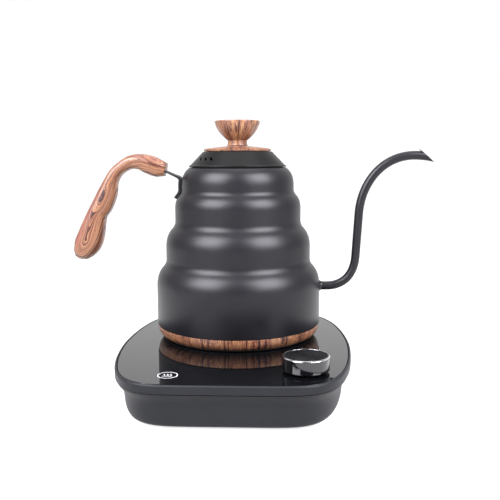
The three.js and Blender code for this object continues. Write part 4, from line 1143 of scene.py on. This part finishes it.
def makeFixings():
    foot = turned("footItem", [(0, 0.3), (2.6, 0.3, 0.3), (3.0, 0, 0.2), (6.3, 0, 0.5), (7, 0.8, 0.3),
        (7, 2.4, 0.2),
        (0, 2.4)], rubberFoot, sides=64, above=0.0)
    finished(repeated("rubberFeet", feet, foot, rubberFoot), "base", "rubber", *feet)
    item = crossHead("screwItem", 3.2, 1.4, 1.6, 13)
    finished(repeated("housingScrews", baseScrews, item, plainSteel), "base", "plain_steel", *baseScrews)
    screws = ["cover_screw_1", "cover_screw_2", "cover_screw_3"]
    item = crossHead("coverScrewItem", 3.2, 1.0, 1.6, 17)
    finished(repeated("coverScrews", screws, item, plainSteel), "kettle", "plain_steel", *screws)


def makeCoupling():
    low = heightAbove("base_connector", 0)
    top = heightAbove("base_connector", 1)
    boss = top - 9.7
    shell = turned("couplingBoss", [
        (2.3, low), (15, low, 0.4), (15, -8.3), (27, -8.3, 0.4), (27, -4.3, 0.4), (18.7, -4.3),
        (18.7, boss, 0.7),
        (15.0, boss, 0.2), (15.0, boss - 6), (13.2, boss - 6), (13.2, boss, 0.2), (11.0, boss, 0.2),
        (11.0, boss - 6),
        (9.2, boss - 6), (9.2, boss, 0.2), (6.8, boss, 0.5), (6.8, top - 1.2, 0.4), (5.8, top, 0.5),
        (2.3, top, 0.2)],
        couplingPlastic, closedLoop=True)
    finished(shell, "base", "part_black", "base_connector")
    for name, node, inner, outer in (("liveRing", "live_contact", 9.5, 10.7),
        ("neutralRing", "neutral_contact", 13.5, 14.7)):
        a, b = heightAbove(node, 0), heightAbove(node, 1)
        ring = turned(name, [(inner, a), (outer, a), (outer, b, 0.25), (inner, b, 0.25)], plainBrass,
            closedLoop=True)
        finished(ring, "base", "brass", node)
    a, b = heightAbove("connector_pin", 0), heightAbove("connector_pin", 1)
    pin = turned("earthPin", [(0, a), (2, a, 0.3), (2, b - 0.9, 0.4), (1.2, b, 0.3), (0, b)], plainBrass,
        sides=48)
    finished(pin, "base", "brass", "connector_pin")


def makeGland():
    low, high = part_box("cord_gland")
    centre = (low + high) / 2
    profile = [(0, 0), (5.6, 0, 0.3), (5.6, 6.5), (4.9, 6.8), (4.9, 8.2), (5.6, 8.5), (5.6, 9.3),
        (7.6, 9.3, 0.4),
        (7.6, 11.2, 0.8), (6.2, 11.6, 0.5), (5.0, 11.6), (0, 11.6)]
    bush = turned("cordGland", profile, rubberFoot, sides=64, above=0.0)
    bush.data.transform(Matrix.Translation((0, low.y, centre.z)) @ Matrix.Rotation(-math.pi / 2, 4, "X"))
    slot = []
    for end in (1, -1):
        for k in range(9):
            t = math.pi * k / 8 - math.pi / 2
            slot.append(((1.7 + 1.8 * math.cos(t)) * end, 1.8 * math.sin(t) * end))
    count = len(slot)
    points = [Vector((x * mm, y, centre.z + z * mm)) for y in (low.y - 2 * mm, high.y + 2 * mm) for x,
        z in slot]
    faces = [(i, (i + 1) % count, count + (i + 1) % count, count + i) for i in range(count)]
    faces += [tuple(range(count))[::-1], tuple(range(count, 2 * count))]
    carve(bush, meshPiece("glandSlot", points, faces, rubberFoot))
    finished(bush, "base", "rubber", "cord_gland")


makeBase()
makeFixings()
makeCoupling()
makeGland()
print("power base ready")


# touch key: a generic keep-warm mark printed on the glass

keyShape = {"ring": 7.2, "line": 0.55, "lift": 0.02, "thick": 0.03, "waves": (-2.4, 0.0, 2.4)}


def ribbon(line, width, closedLoop=False):
    half = width / 2
    count = len(line)
    points, faces = [], []
    for i, p in enumerate(line):
        before = line[i - 1] if closedLoop or i else line[0]
        after = line[(i + 1) % count] if closedLoop or i < count - 1 else line[-1]
        along = (Vector(after) - Vector(before)).normalized()
        side = Vector((-along.y, along.x)) * half
        for z in (keyShape["lift"], keyShape["lift"] + keyShape["thick"]):
            for way in (1, -1):
                points.append((p[0] + side.x * way, p[1] + side.y * way, z))
    spans = count if closedLoop else count - 1
    for i in range(spans):
        a, b = 4 * i, 4 * ((i + 1) % count)
        faces += [(a, a + 1, b + 1, b), (a + 2, b + 2, b + 3, a + 3), (a, b, b + 2, a + 2),
            (a + 1, a + 3, b + 3, b + 1)]
    if not closedLoop:
        last = 4 * (count - 1)
        faces += [(0, 2, 3, 1), (last, last + 1, last + 3, last + 2)]
    return points, faces


def makeKeyMark():
    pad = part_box("touch_pad")
    centre = (pad[0] + pad[1]) / 2
    ink = mottled("whiteCeramicInk", "c9c9cb", "dcdcde", 0.5, 0.1, 0.35, 0.05)
    turns = [2 * math.pi * k / 72 for k in range(72)]
    ring = [(keyShape["ring"] * math.cos(t), keyShape["ring"] * math.sin(t)) for t in turns]
    shapes = [ribbon(ring, keyShape["line"], True)]
    for x in keyShape["waves"]:
        wave = [(x + 0.55 * math.sin(2 * math.pi * k / 16), -0.9 + 3.8 * k / 16) for k in range(17)]
        shapes.append(ribbon(wave, keyShape["line"]))
    shapes.append(ribbon([(-3.8, -2.4), (3.8, -2.4)], keyShape["line"]))
    points, faces = [], []
    for some, sides in shapes:
        start = len(points)
        points += [(centre.x + x * mm, centre.y + y * mm, glassTop + z * mm) for x, y, z in some]
        faces += [tuple(start + i for i in face) for face in sides]
    finished(meshPiece("keepWarmMark", points, faces, ink), "base", "black_glass")


makeKeyMark()
print("touch key ready")


# CAD nodes that stay as they are get their own finishes

slotFinish = {"satin_black": satinCoat, "lid_black": lidCoat, "wood_print": ringWood,
    "black_glass": blackGlass,
    "base_plastic": basePlastic, "under_plastic": underPlastic, "dial_black": dialGloss,
    "bright_metal": brightEdge, "spun_metal": spunCap, "plain_steel": plainSteel, "brass": plainBrass,
    "rubber": rubberFoot, "silicone": sealSilicone, "circuit_board": boardMask,
    "part_black": couplingPlastic, "relay_blue": relayCase, "winding_tape": windingTape,
    "brown_lead": brownWire, "blue_lead": blueWire, "earth_lead": earthWire, "grey_ribbon": ribbonWire}
for entry in frame["record"]["subparts"]:
    node = frame["nodes"][entry["node"]]
    for holder in node.material_slots:
        holder.material = slotFinish[entry["material_slot"]]
    if not node.material_slots:
        node.data.materials.append(slotFinish[entry["material_slot"]])
